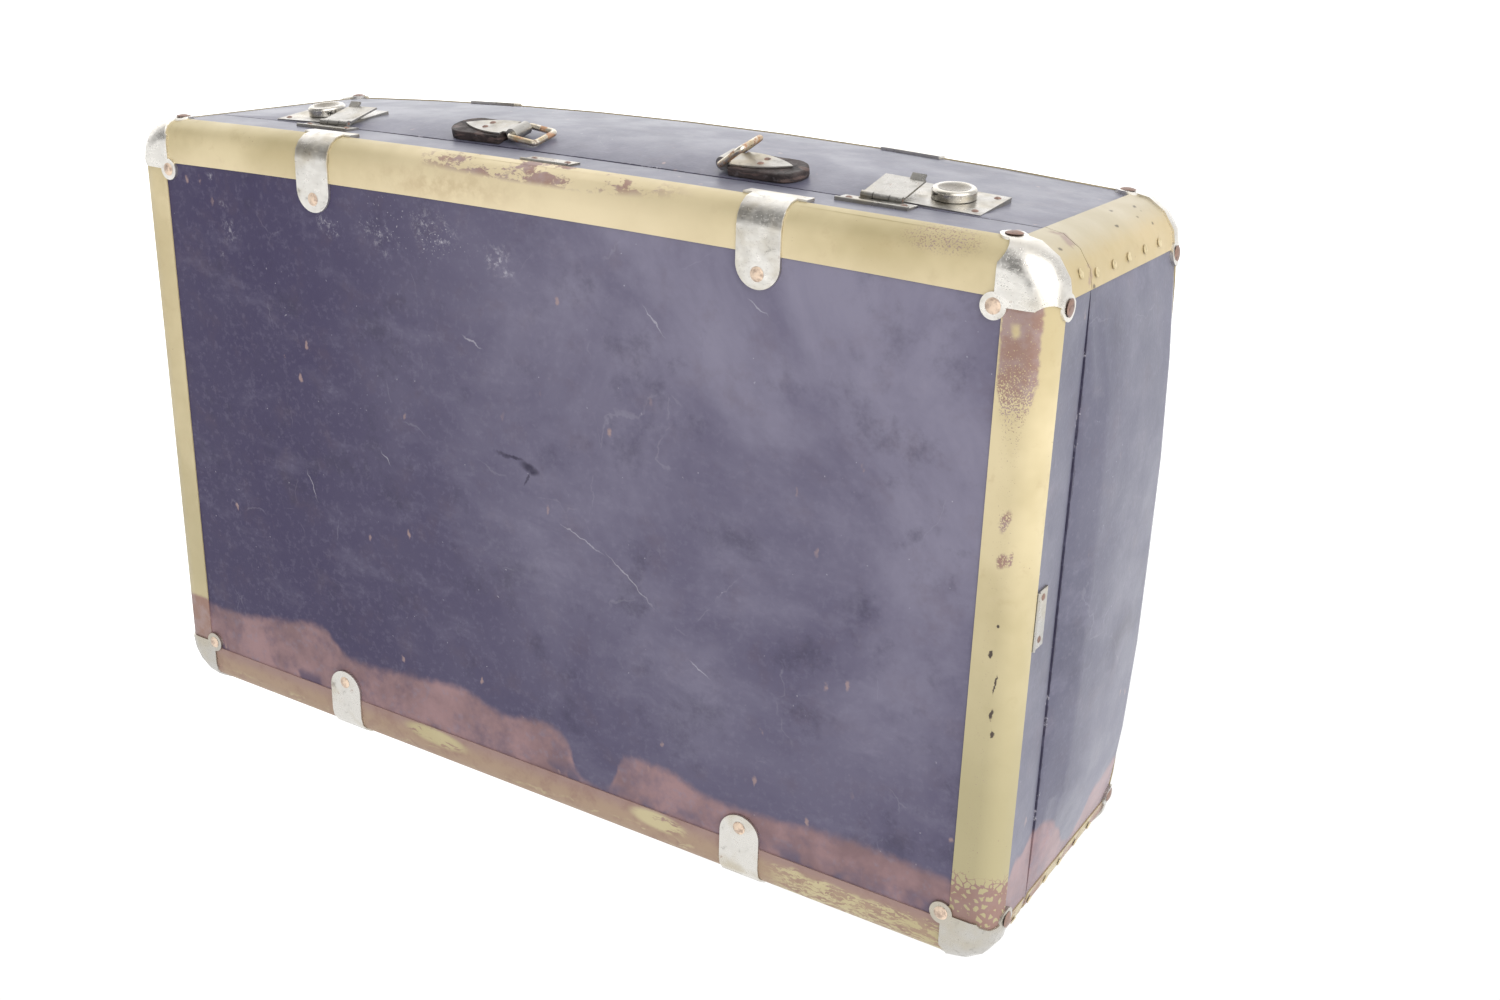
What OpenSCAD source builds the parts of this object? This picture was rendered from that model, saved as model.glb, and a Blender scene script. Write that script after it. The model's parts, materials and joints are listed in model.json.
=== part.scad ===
// Vintage fibre suitcase, standing on its hinge side with the lid to the front.
// Millimetres. +X runs right along the handle side, +Y from the lid to the back, +Z up.

/* [Case] */
// Width over the fibre walls
case_w = 700; // [600:1:800]
// Height over the fibre walls, from the hinge side to the handle side
case_h = 437; // [380:1:500]
// Depth from the lid's panel to the back panel
case_d = 204; // [170:1:240]
// Depth of the lid shell, from its panel to the seam
lid_d = 50; // [44:1:65]
// Gap between the two shells at the seam
seam_gap = 0.6; // [0.4:0.1:1]
// Thickness of the fibre walls and panels
wall_t = 2.4; // [2:0.1:3]
// Thickness of the paper lining
lining_t = 0.8; // [0.5:0.1:1.2]
// Radius of the front and back edges
edge_r = 14; // [10:0.5:18]
// Radius of the four corners, seen from the front
corner_r = 30; // [24:1:40]

/* [Swell] */
// Rise of the lid's top edge at the middle
lid_crown = 4; // [1:0.5:6]
// Further rise of the base's top wall at the middle
top_swell = 9.5; // [5:0.5:12]
// Further rise of the base's back edge at the middle
back_swell = 7.2; // [3:0.1:10]
// Swell of the base's side walls at mid height
side_swell = 13.5; // [4:0.5:16]
// Length over which the swollen side walls fall in to the back edge
side_fall = 20; // [16:1:40]
// Distance behind the seam at which the swell is full
swell_run = 60; // [50:1:80]

/* [Rim] */
// Thickness of the rim inside the base's mouth
rim_t = 3; // [2:0.1:4]
// Depth of the rim inside the base
rim_depth = 13; // [8:0.5:14]
// Distance of a rim strip's end from the corner's bend
rim_end = 2; // [1:0.5:4]
// Gap between the wall's four sheets, under the corner bands
sheet_gap = 0.4; // [0.3:0.1:0.6]
// Reach of the rim into the lid
rim_reach = 8; // [4:0.5:12]
// Clearance between the rim and the lid's lining
rim_clear = 0.5; // [0.4:0.1:0.8]
// Step from the rim's inner face to its lip's inner face
rim_step = 0.4; // [0.3:0.1:0.6]
// Length of the lip's root inside the rim
rim_root = 2; // [1.5:0.1:3]

/* [Binding] */
// Width of the edge binding on the panels
trim_face_w = 28.5; // [24:0.5:34]
// Width of the edge binding on the walls
trim_wall_w = 14.6; // [12:0.2:18]
// Thickness of the edge binding
trim_t = 0.8; // [0.5:0.1:1.2]
// Width of the corner bands on each wall
band_w = 29; // [24:0.5:34]
// Set-back of the bottom corner bands from the seam, clear of the hinge's turn
band_relief = 2.5; // [2:0.1:4]

/* [Caps and clips] */
// Thickness of the caps and clips
metal_t = 1.4; // [1:0.1:2]
// Reach of a cap along the panel's edges
cap_reach = 33; // [28:0.5:36]
// Reach of a cap along the walls
cap_depth = 19; // [15:0.5:21]
// Radius of a cap's ears
ear_r = 7.5; // [6:0.1:9]
// Distance of the panel ear from both edges
ear_face = 33; // [30:0.5:36]
// Distance of the wall ears from the corner's edge
ear_wall = 32; // [31:0.5:36]
// Distance of the wall ears from the panel
ear_depth = 16; // [14:0.5:18]
// Radius of the scoops in a cap's edge, between its ears
scoop_r = 15; // [12:0.5:20]
// Depth of the scoops
scoop_in = 4; // [2:0.5:6]
// Distance of the clips from the case's sides
clip_side = 176; // [150:1:200]
// Width of a clip
clip_w = 29.5; // [24:0.5:36]
// Length of a clip's leg on the panel, from the edge
clip_leg = 49; // [42:0.5:56]
// Distance of a clip's rivet from the edge
clip_rivet = 40; // [34:0.5:44]
// Width of a clip's flange on the wall
flange_w = 42; // [32:0.5:52]
// Reach of a clip's flange on the wall
flange_reach = 23; // [18:0.5:28]
// Radius of a rivet head
rivet_r = 3.6; // [2.8:0.1:4]
// Height of a rivet head
rivet_h = 1.5; // [1:0.1:2]

/* [Wall plates] */
// Length of the small plates on the lid's walls
plate_l = 36; // [30:0.5:44]
// Width of the small plates
plate_w = 14; // [10:0.5:16]
// Thickness of the small plates
plate_t = 1.2; // [0.8:0.1:1.6]
// Radius of the rolled edge of the small plates
plate_roll_r = 1; // [0.7:0.1:1.3]
// Distance of the small plates behind the binding
plate_gap = 0.6; // [0.4:0.1:2]
// Radius of the small plates' rivets
plate_rivet_r = 2.2; // [1.6:0.1:2.6]
// Height of the small plates' rivets
plate_rivet_h = 0.9; // [0.7:0.1:1.2]
// Distance of the small plates' rivets from the plates' ends
plate_rivet_in = 5; // [4:0.5:8]
// Place of the top plate, from the case's middle
plate_x = 8; // [0:1:12]
// Height of the side plates above mid height
plate_up = 8; // [0:1:12]

/* [Locks] */
// Middle between the two locks, from the case's middle
lock_mid_x = 10; // [0:1:30]
// Distance of each hasp from the case's side, before that shift
lock_side = 137; // [130:1:160]
// Length of the lock plate
lock_l = 67.5; // [64:0.5:76]
// Width of the lock plate
lock_w = 42; // [41:0.5:46]
// Reach of the lock plate inside the hasp's middle
lock_in = 8; // [7:0.5:12]
// Distance of the lock plate's rivets from its corner
lock_rivet_in = 6; // [5:0.5:8]
// Thickness of the lock plate over the wall
lock_t = 1.2; // [1:0.1:1.6]
// Distance of the lock plate behind the seam
lock_back = 2; // [1.5:0.1:4]
// Depth of the lock case inside the wall
lock_case_h = 6; // [5.5:0.1:8]
// Wall of the lock case
lock_case_t = 0.8; // [0.6:0.1:1]
// Reach of the lock case inside the hasp's middle
lock_case_in = 6; // [5.5:0.1:7]
// Margin of the lock case inside the lock plate's edges
lock_case_edge = 5; // [4:0.5:6]
// Front of the lock case behind the seam
lock_case_front = 16.5; // [16:0.1:18]
// Distance of the knob from the hasp's middle
knob_x = 32.5; // [31:0.5:36]
// Distance of the knob behind the seam
knob_y = 25; // [24.5:0.5:26]
// Radius of the knob
knob_r = 13; // [11:0.5:13.5]
// Height of the knob
knob_h = 6; // [4.5:0.1:8]
// Depth of the knob's dished top
knob_dish = 2.4; // [1.5:0.1:3]
// Radius of the knob's dished top
knob_dish_r = 10; // [8:0.1:10.4]
// Radius of the knob's rounded rim
knob_lip = 2; // [1.5:0.1:2.2]
// Radius of the knob's stem
stem_r = 3; // [2.5:0.1:3.5]
// Travel of the knob
knob_travel = 5.5; // [5:0.1:6]
// Thickness of the bolt
bolt_t = 1.4; // [1.2:0.1:1.6]
// Length of the bolt under the knob
bolt_l = 30; // [26:0.5:32]
// Width of the bolt under the knob
bolt_w = 14; // [12:0.5:14.5]
// Drop of the bolt below the wall's top
bolt_drop = 0.2; // [0.1:0.05:0.4]
// Distance of the bolt's nose from the staple, unlocked
nose_clear = 1.4; // [1:0.1:1.6]
// Width of the bolt's nose
nose_w = 2.2; // [1.8:0.1:2.4]
// Clearance of the sliding pieces
slide_clear = 0.3; // [0.2:0.05:0.4]

/* [Hasps] */
// Width of the hasp
hasp_w = 26; // [22:0.5:28]
// Length of the hasp from its pin
hasp_l = 29; // [27:0.1:30]
// Thickness of the hasp
hasp_t = 1.2; // [1:0.1:1.6]
// Angle at which the hasp stands above its shut place
hasp_lift = 9; // [9:0.5:20]
// Height of the hasp's pin over the lock plate's seat
pin_h = 2; // [1.9:0.1:2.2]
// Radius of the hasp's knuckles
knuckle_r = 2.1; // [1.8:0.1:2.3]
// Radius of the hasp's pin
pin_r = 0.9; // [0.7:0.05:1.1]
// Length of the hasp's middle knuckle
knuckle_l = 10; // [8:0.5:12]
// Running clearance of the pins
pin_clear = 0.05; // [0.03:0.01:0.08]
// Gap between neighbouring knuckles
knuckle_gap = 0.4; // [0.3:0.05:0.6]
// Length of the hasp's plate on the lid
hinge_plate_l = 46; // [40:0.5:52]
// Width of the hasp's plate on the lid
hinge_plate_w = 14; // [12:0.5:16]
// Thickness of the hasp's plate on the lid
hinge_plate_t = 1.3; // [1:0.1:1.6]
// Distance of that plate's rivets from its middle
hinge_rivet_x = 17.5; // [16:0.5:19]
// Radius of that plate's rolled edge
hinge_roll_r = 1; // [0.7:0.1:1.3]
// Reach of the tongues that carry the outer knuckles
tongue_l = 1.5; // [1.3:0.1:2]
// Thickness of those tongues
tongue_t = 1.2; // [1.1:0.1:1.4]
// Thickness of the staple under the hasp
staple_t = 2.4; // [2:0.1:2.6]
// Distance of the staple's shank behind the pin
staple_y = 21; // [20.8:0.1:21.5]
// Length of the staple's hook
staple_hook = 5; // [4.6:0.1:5.2]
// Thickness of the staple's hook
hook_t = 1.2; // [1:0.1:1.4]
// Margin of the lock plate's slot round the staple
slot_margin = 1.2; // [1:0.1:1.4]
// Upward bend of the finger tab
tab_bend = 35; // [25:1:45]
// Width of the finger tab
tab_w = 9; // [7:0.5:11]
// Distance of the finger tab from the hasp's side
tab_in = 0.6; // [0.4:0.1:3]
// Length of the finger tab
tab_l = 4.5; // [3:0.1:6]

/* [Handle mounts] */
// Middle between the two handle mounts, from the case's middle
handle_mid_x = 30; // [0:1:36]
// Distance of each barrel from that middle
barrel_x = 81; // [70:1:95]
// Distance of the barrels' middle behind the seam
barrel_y = 15.5; // [15:0.5:18]
// Radius of the barrel
barrel_r = 4.3; // [3.8:0.1:4.8]
// Length of the barrel
barrel_l = 16; // [13:0.2:16.2]
// Height of the barrel's axis over the wall
barrel_h = 5; // [4.9:0.1:6]
// Radius of the loop's wire
wire_r = 2; // [1.7:0.1:2.2]
// Width of the loop between its wires' middles
loop_w = 22; // [21.8:0.1:24]
// Length of the loop between its wires' middles
loop_l = 21; // [18:0.5:26]
// Radius of the loop's bends
bend_r = 2.6; // [2.4:0.1:2.7]
// Angle of the lying loop below the wall's slope
loop_drop = 7; // [5:0.5:7.5]
// Angle of the raised loop above the wall's slope
loop_raise = 36; // [35:1:45]
// Start of the leather pad from the barrel
pad_start = 7; // [6.5:0.5:9]
// Length of the leather pad
pad_l = 47; // [44:0.5:56]
// Width of the leather pad
pad_w = 28; // [24:0.5:28]
// Thickness of the leather pad
pad_t = 6; // [5:0.1:6.2]
// Thickness of the cover plate
cover_t = 1.2; // [1:0.1:1.5]
// Length of the cover plate from the barrel
cover_l = 45; // [40:0.5:46]
// Width of the cover plate
cover_w = 23; // [18:0.5:25]
// Distance of the cover plate's widest place from the barrel
cover_belly = 10; // [8:0.5:12]
// Distance of the cover plate's rivets from the barrel
cover_rivet_x = 25; // [20:0.5:27]
// Distance of the cover plate's rivets from its middle line
cover_rivet_y = 4; // [3:0.1:4.5]

/* [Hinges] */
// Distance of the hinges from the case's sides
hinge_side = 150; // [120:1:180]
// Length of a hinge
hinge_l = 60; // [45:1:80]
// Width of a hinge leaf
leaf_w = 18; // [12:0.5:24]
// Thickness of a hinge leaf
leaf_t = 0.8; // [0.6:0.1:1.2]
// Radius of the hinge knuckles
hinge_r = 1.8; // [1.5:0.1:2]
// Radius of the hinge pins
hinge_pin_r = 0.9; // [0.7:0.05:1]

/* [Hidden] */
$fn = 48;

// Faces of the shells' rounded edges, and points along their corners and edges
ball_fn = 16;
arc_n = ball_fn / 4;
top_n = 8;
side_n = 6;
swell_steps = [0.25, 0.5, 1];
least_r = 2;

metal_out = trim_t + metal_t;
foot_z = metal_out;
half_w = case_w / 2;
front_y = -case_d / 2;
back_y = case_d / 2;
seam_y = front_y + lid_d;
top_z = foot_z + case_h;
mid_z = foot_z + case_h / 2;
span_x = half_w - corner_r;
clip_x = half_w - clip_side;
lock_x = half_w - lock_side;
hinge_x = half_w - hinge_side;
panel_lap = 2;
panel_inset = edge_r + panel_lap;
lining_in = wall_t + lining_t;
base_crown = lid_crown + back_swell;
wall_crown = lid_crown + top_swell;
bend_d = case_d - lid_d - edge_r;
base_depths = concat([0], swell_steps * swell_run, [bend_d - side_fall, bend_d]);
// Overlaps for cuts: past a wall, below a curved wall, and between joined pieces
over = 24;
sink = over / 4;
lap = 1;
reach = 3 * case_w;
leaf_fn = 200;
half_turn = 180;
lying_turn = half_turn + loop_drop;

fibre_colour = [0.28, 0.27, 0.36];
gold_colour = [0.76, 0.68, 0.46];
nickel_colour = [0.74, 0.72, 0.66];
rust_colour = [0.45, 0.3, 0.2];
leather_colour = [0.2, 0.14, 0.11];
paper_colour = [0.75, 0.68, 0.55];
wood_colour = [0.6, 0.45, 0.3];

// Shape of the swell along the top and along the fuller sides, 1 in the middle and 0 at the ends
function bow(s) = 1 - s * s;
function side_bow(s) = 1 - s * s * s * s;
// Slope of the top's swell in the last of its straight steps
function end_slope(n) = bow(1 - 2 / n) * n / 2;
// Share of the swell at a distance behind the seam
function swell_share(d) = let (t = min(1, max(0, d / swell_run))) 1 - (1 - t) * (1 - t);
function side_share(d) = swell_share(d) * min(1, (bend_d - d) / side_fall);
function swell_slope(d) = 2 * (1 - min(1, max(0, d / swell_run))) / swell_run;
function lid_rise(x) = lid_crown * bow(x / span_x);
function base_rise(x, d) = (lid_crown + top_swell * swell_share(d)) * bow(x / span_x);
function ring_crown(d) = d < bend_d ? lid_crown + top_swell * swell_share(d) : base_crown;
function rise_slope(x, d) = -2 * (lid_crown + top_swell * swell_share(d)) * x / span_x / span_x;
function depth_slope(x, d) = top_swell * swell_slope(d) * bow(x / span_x);

function corner_arc(x, z, r, start) =
  [for (k = [0 : arc_n]) [x + r * cos(start + 90 * k / arc_n), z + r * sin(start + 90 * k / arc_n)]];

// Outline of the case seen from the front, set in from its walls
function outline_r(inset) = max(corner_r - inset, least_r);
function outline_x(inset) = half_w - inset - outline_r(inset);
function outline_z(inset) = case_h / 2 - inset - outline_r(inset);
function corner_points(inset, sx, sz) =
  corner_arc(sx * outline_x(inset), mid_z + sz * outline_z(inset), outline_r(inset),
             sx > 0 ? (sz > 0 ? 0 : 270) : (sz > 0 ? 90 : 180));
function top_points(inset, crown) =
  [for (k = [1 : top_n - 1]) let (s = 1 - 2 * k / top_n)
    [outline_x(inset) * s, mid_z + case_h / 2 - inset + crown * bow(s)]];
function side_points(inset, swell, sx) = swell == 0 ? [] :
  [for (k = [1 : side_n - 1]) let (s = sx * (2 * k / side_n - 1))
    [sx * (half_w - inset + swell * side_bow(s)), mid_z + outline_z(inset) * s]];
function outline_points(inset, crown, swell) = concat(
  corner_points(inset, 1, 1), top_points(inset, crown), corner_points(inset, -1, 1),
  side_points(inset, swell, -1), corner_points(inset, -1, -1),
  corner_points(inset, 1, -1), side_points(inset, swell, 1));

module outline(inset, crown, swell) polygon(outline_points(inset, crown, swell));

// A flat shape in X and Z, drawn out from y0 to y1
module slab(y0, y1) translate([0, y1, 0]) rotate([90, 0, 0]) linear_extrude(y1 - y0) children();

module before(y) translate([-reach / 2, y - reach, -reach / 2]) cube(reach);
module behind(y) translate([-reach / 2, y, -reach / 2]) cube(reach);

// A faceted ball with its poles on Y, true to its radius on all six sides
module ball(r) rotate([90, 0, 0]) rotate_extrude($fn = ball_fn)
  polygon([for (k = [-arc_n : arc_n]) r * [cos(90 * k / arc_n), sin(90 * k / arc_n)]]);

module ring(y, points, r)
  for (p = points) translate([p[0], y, p[1]]) ball(r);

// Outer form of each shell, grown or shrunk by an offset
module lid_body(offset) hull()
  for (y = [front_y + edge_r, seam_y]) ring(y, outline_points(edge_r, lid_crown, 0), edge_r + offset);

module base_ring(d, offset)
  ring(seam_y + d, outline_points(edge_r, ring_crown(d), side_swell * side_share(d)),
    edge_r + offset);

module base_body(offset)
  for (k = [1 : len(base_depths) - 1]) hull() {
    base_ring(base_depths[k - 1], offset);
    base_ring(base_depths[k], offset);
  }

module lid_layer(inner, outer) intersection() {
  difference() {
    lid_body(outer);
    lid_body(inner);
  }
  before(seam_y - seam_gap / 2);
}

module base_layer(inner, outer) intersection() {
  difference() {
    base_body(outer);
    base_body(inner);
  }
  behind(seam_y + seam_gap / 2);
}

// Places on the case: a corner, an edge, a lock and a handle mount
module at_corner(sx, sy, sz)
  translate([sx * half_w, sy * case_d / 2, sz > 0 ? top_z : foot_z])
    mirror([sx > 0 ? 1 : 0, 0, 0]) mirror([0, sy > 0 ? 1 : 0, 0]) mirror([0, 0, sz > 0 ? 1 : 0])
      children();

module at_edge(x, sy, sz)
  translate([x, sy * case_d / 2, sz > 0 ? top_z + edge_rise(x, sy) : foot_z])
    mirror([0, sy > 0 ? 1 : 0, 0]) mirror([0, 0, sz > 0 ? 1 : 0]) children();

function edge_rise(x, sy) = (sy < 0 ? lid_crown : base_crown) * bow(x / span_x);

// Frame on the base's top wall, tangent to the swell, +X outwards on both sides
module on_base_top(x, d, side)
  translate([x, seam_y + d, top_z + base_rise(x, d)])
    rotate([0, -atan(rise_slope(x, d)), 0]) rotate([atan(depth_slope(x, d)), 0, 0])
      mirror([side < 0 ? 1 : 0, 0, 0]) children();

lock_d = lock_back + lock_w / 2;
function hasp_x(side) = lock_mid_x + side * lock_x;
module at_lock(side) on_base_top(hasp_x(side), lock_d, side) translate([0, -lock_d, 0]) children();
module at_hasp_plate(side)
  translate([hasp_x(side), seam_y, top_z + lid_rise(hasp_x(side))])
    rotate([0, -atan(rise_slope(hasp_x(side), 0)), 0]) mirror([side < 0 ? 1 : 0, 0, 0]) children();
module at_handle(side) on_base_top(handle_mid_x + side * barrel_x, barrel_y, side) children();

// Domed rivet head on the XY plane
module rivet(r, h) {
  dome_r = (r * r + h * h) / (2 * h);
  intersection() {
    translate([0, 0, h - dome_r]) sphere(dome_r);
    cylinder(r = r, h = h);
  }
}

// Binding

module corner_zone(sx, sy, sz, y_inner)
  at_corner(sx, sy, sz) translate([-over, 0, -over]) cube([over + band_w, y_inner, over + band_w]);

module lid_frame_zone() difference() {
  before(front_y + trim_wall_w);
  slab(front_y - over, front_y + edge_r / 2) outline(trim_face_w, lid_crown, 0);
}

module base_frame_zone() difference() {
  behind(back_y - trim_wall_w);
  slab(back_y - edge_r / 2, back_y + over) outline(trim_face_w, base_crown, 0);
}

lid_band_d = lid_d - seam_gap / 2;
base_band_d = case_d - lid_d - seam_gap / 2;
function band_end(sz, d) = sz > 0 ? d : d - band_relief;

module lid_band_zone()
  for (sx = [-1, 1], sz = [-1, 1]) corner_zone(sx, -1, sz, band_end(sz, lid_band_d));

module base_band_zone()
  for (sx = [-1, 1], sz = [-1, 1]) corner_zone(sx, 1, sz, band_end(sz, base_band_d));

// Quarter of the frame, mitred at the corners
mitre = 2 * corner_r;
mitre_shift = corner_r / 10;
module quarter(dx, dz) {
  near_x = half_w - mitre + mitre_shift;
  near_z = case_h / 2 - mitre;
  far_x = half_w + mitre + mitre_shift;
  far_z = case_h / 2 + mitre;
  translate([0, 0, mid_z]) slab(-case_d, case_d)
    polygon(dz != 0
      ? [[-near_x, dz * near_z], [near_x, dz * near_z], [far_x, dz * far_z], [-far_x, dz * far_z]]
      : [[dx * near_x, -near_z], [dx * near_x, near_z], [dx * far_x, far_z], [dx * far_x, -far_z]]);
}

module lid_trim(dx, dz) color(gold_colour) intersection() {
  lid_layer(0, trim_t);
  lid_frame_zone();
  quarter(dx, dz);
}

module base_trim(dx, dz) color(gold_colour) intersection() {
  base_layer(0, trim_t);
  base_frame_zone();
  quarter(dx, dz);
}

module lid_corner_bands() color(gold_colour) intersection() {
  lid_layer(0, trim_t);
  behind(front_y + trim_wall_w);
  lid_band_zone();
}

module base_corner_bands() color(gold_colour) intersection() {
  base_layer(0, trim_t);
  before(back_y - trim_wall_w);
  base_band_zone();
}

// Caps and clips, bent over the binding and down to the fibre beyond it

module lid_metal() color(nickel_colour) difference() {
  intersection() {
    lid_layer(0, metal_out);
    children();
  }
  intersection() {
    lid_body(trim_t);
    union() {
      lid_frame_zone();
      lid_band_zone();
    }
  }
}

module base_metal() color(nickel_colour) difference() {
  intersection() {
    base_layer(0, metal_out);
    children();
  }
  intersection() {
    base_body(trim_t);
    union() {
      base_frame_zone();
      base_band_zone();
    }
  }
}

module cap_zone() {
  difference() {
    translate([-over, -over, -over]) cube([over + cap_reach, over + cap_depth, over + cap_reach]);
    translate([0, 0, cap_reach + scoop_r - scoop_in]) sphere(r = scoop_r);
    translate([cap_reach + scoop_r - scoop_in, 0, 0]) sphere(r = scoop_r);
  }
  translate([ear_face, -over, ear_face]) rotate([-90, 0, 0]) cylinder(r = ear_r, h = over + edge_r);
  translate([ear_wall, ear_depth, -over]) cylinder(r = ear_r, h = over + edge_r);
  translate([-over, ear_depth, ear_wall]) rotate([0, 90, 0]) cylinder(r = ear_r, h = over + edge_r);
}

module clip_zone() {
  leg_end = clip_leg - clip_w / 2;
  translate([-clip_w / 2, -over, -over]) cube([clip_w, over + edge_r, over + leg_end]);
  translate([0, -over, leg_end]) rotate([-90, 0, 0]) cylinder(d = clip_w, h = over + edge_r / 2);
  translate([-flange_w / 2, edge_r, -over])
    cube([flange_w, flange_reach - edge_r, over + edge_r]);
}

module lid_corner_cap(sx, sz) lid_metal() at_corner(sx, -1, sz) cap_zone();
module base_corner_cap(sx, sz) base_metal() at_corner(sx, 1, sz) cap_zone();
module lid_edge_clip(sx, sz) lid_metal() at_edge(sx * clip_x, -1, sz) clip_zone();
module base_edge_clip(sx, sz) base_metal() at_edge(sx * clip_x, 1, sz) clip_zone();

// Rivets on the panel side of one shell
module panel_rivets(sy) {
  for (sx = [-1, 1], sz = [-1, 1]) {
    at_corner(sx, sy, sz) translate([ear_face, -metal_out, ear_face]) rotate([90, 0, 0])
      rivet(rivet_r, rivet_h);
    at_edge(sx * clip_x, sy, sz) translate([0, -metal_out, clip_rivet]) rotate([90, 0, 0])
      rivet(rivet_r, rivet_h);
  }
}

// Rivets of the caps' wall ears, square to the swollen top; the hinge side keeps flush ones
module ear_rivets(sy, crown, swell) {
  top_slope = crown * end_slope(top_n) / span_x;
  side_slope = swell * side_bow(1 - 2 / side_n) * side_n / 2 / (case_h / 2 - corner_r);
  past = ear_wall - corner_r;
  for (sx = [-1, 1], sz = [-1, 1]) {
    at_corner(sx, sy, sz) translate([-metal_out - past * side_slope, ear_depth, ear_wall])
      rotate([0, -90 - atan(side_slope), 0]) rivet(rivet_r, rivet_h);
    if (sz > 0) at_corner(sx, sy, sz) translate([ear_wall, ear_depth, -metal_out - past * top_slope])
      rotate([0, atan(top_slope), 0]) rotate([180, 0, 0]) rivet(rivet_r, rivet_h);
  }
}

module lid_rivets() color(rust_colour) {
  panel_rivets(-1);
  ear_rivets(-1, lid_crown, 0);
  for (side = [-1, 1]) at_hasp_plate(side) for (u = [-1, 1])
    translate([u * hinge_rivet_x, -hinge_plate_w / 2, hinge_plate_t]) rivet(plate_rivet_r, plate_rivet_h);
  for (side = [-1, 1]) on_lid_side(side) plate_rivets();
  on_lid_top() plate_rivets();
}

module base_rivets() color(rust_colour) {
  panel_rivets(1);
  ear_rivets(1, wall_crown, side_swell);
  for (side = [-1, 1]) {
    at_lock(side) for (v = [lock_back + lock_rivet_in, lock_back + lock_w - lock_rivet_in])
      translate([lock_l - lock_in - lock_rivet_in, v, lock_t]) rivet(plate_rivet_r, plate_rivet_h);
    at_handle(side) for (v = [-1, 1])
      translate([cover_rivet_x, v * cover_rivet_y, pad_t + cover_t]) rivet(plate_rivet_r, plate_rivet_h);
  }
}

// Shells

module lid_front_panel() color(fibre_colour)
  slab(front_y, front_y + wall_t) outline(panel_inset, lid_crown, 0);

module lid_wall_band() color(fibre_colour) difference() {
  lid_layer(-wall_t, 0);
  slab(front_y - over, front_y + edge_r / 2) outline(panel_inset, lid_crown, 0);
  hinge_notches();
}

module lid_lining() color(paper_colour) lid_layer(-lining_in, -wall_t);

module base_back_panel() color(fibre_colour)
  slab(back_y - wall_t, back_y) outline(panel_inset, base_crown, 0);

module sheet_slits() {
  for (sx = [-1, 1], sz = [-1, 1])
    translate([sx * span_x, -case_d, mid_z + sz * (case_h / 2 - corner_r)]) rotate([0, -atan2(sz, sx), 0])
      translate([0, 0, -sheet_gap / 2]) cube([2 * corner_r, 2 * case_d, sheet_gap]);
}

module base_wall_band() color(fibre_colour) difference() {
  base_layer(-wall_t, 0);
  slab(back_y - edge_r / 2, back_y + over) outline(panel_inset, base_crown, 0);
  hinge_notches();
  for (side = [-1, 1]) at_lock(side) lock_well(slide_clear);
  sheet_slits();
}

module base_lining() color(paper_colour) difference() {
  base_layer(-lining_in, -wall_t);
  for (side = [-1, 1]) at_lock(side) lock_well(slide_clear);
}

module rim_zone() {
  strip_x = span_x - rim_end;
  strip_z = case_h / 2 - corner_r - rim_end;
  translate([-strip_x, -case_d, mid_z - case_h]) cube([2 * strip_x, 2 * case_d, 2 * case_h]);
  translate([-case_w, -case_d, mid_z - strip_z]) cube([2 * case_w, 2 * case_d, 2 * strip_z]);
}

module base_rim() color(wood_colour) intersection() {
  union() {
    intersection() {
      base_layer(-lining_in - rim_t, -lining_in);
      before(seam_y + rim_depth);
    }
    difference() {
      lid_body(-lining_in - rim_clear);
      lid_body(-lining_in - rim_t + rim_step);
      before(seam_y - rim_reach);
      behind(seam_y + rim_root);
    }
  }
  union() rim_zone();
}

// Small plates on the lid's walls

plate_y = front_y + trim_wall_w + plate_gap + plate_w / 2;
module on_lid_side(side) mirror([side < 0 ? 1 : 0, 0, 0])
  translate([half_w, plate_y, mid_z + plate_up]) rotate([0, 90, 0]) children();
module on_lid_top() translate([plate_x, plate_y, top_z + lid_rise(plate_x)]) children();
module wall_plate(sink) {
  translate([-plate_l / 2, -plate_w / 2, -sink]) cube([plate_l, plate_w, plate_t + sink]);
  translate([-plate_l / 2, -plate_w / 2 + plate_roll_r, plate_t]) rotate([0, 90, 0])
    cylinder(r = plate_roll_r, h = plate_l);
}
module plate_rivets()
  for (s = [-1, 1]) translate([s * (plate_l / 2 - plate_rivet_in), plate_roll_r, plate_t])
    rivet(plate_rivet_r, plate_rivet_h);

module lid_wall_plates() color(nickel_colour) {
  for (side = [-1, 1]) on_lid_side(side) wall_plate(0);
  difference() {
    on_lid_top() wall_plate(plate_t);
    lid_body(0);
  }
}

// Locks, in a frame whose origin is over the seam at the hasp's middle

well_out = lock_l - lock_in - lock_case_edge;
well_back = lock_back + lock_w - lock_case_edge;
module lock_well(grow)
  translate([-lock_case_in - grow, lock_case_front - grow, -lock_case_h - 2 * grow])
    cube([lock_case_in + well_out + 2 * grow, well_back - lock_case_front + 2 * grow, lock_case_h + over]);

// Room for the bolt under the lock plate
module lock_cavity()
  translate([-lock_case_in + lock_case_t, lock_case_front + lock_case_t, -lock_case_h])
    cube([lock_case_in + well_out - 2 * lock_case_t, well_back - lock_case_front - 2 * lock_case_t, lock_case_h]);

bolt_low = -bolt_drop - bolt_t;
hook_low = bolt_low - slide_clear - hook_t;

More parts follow.
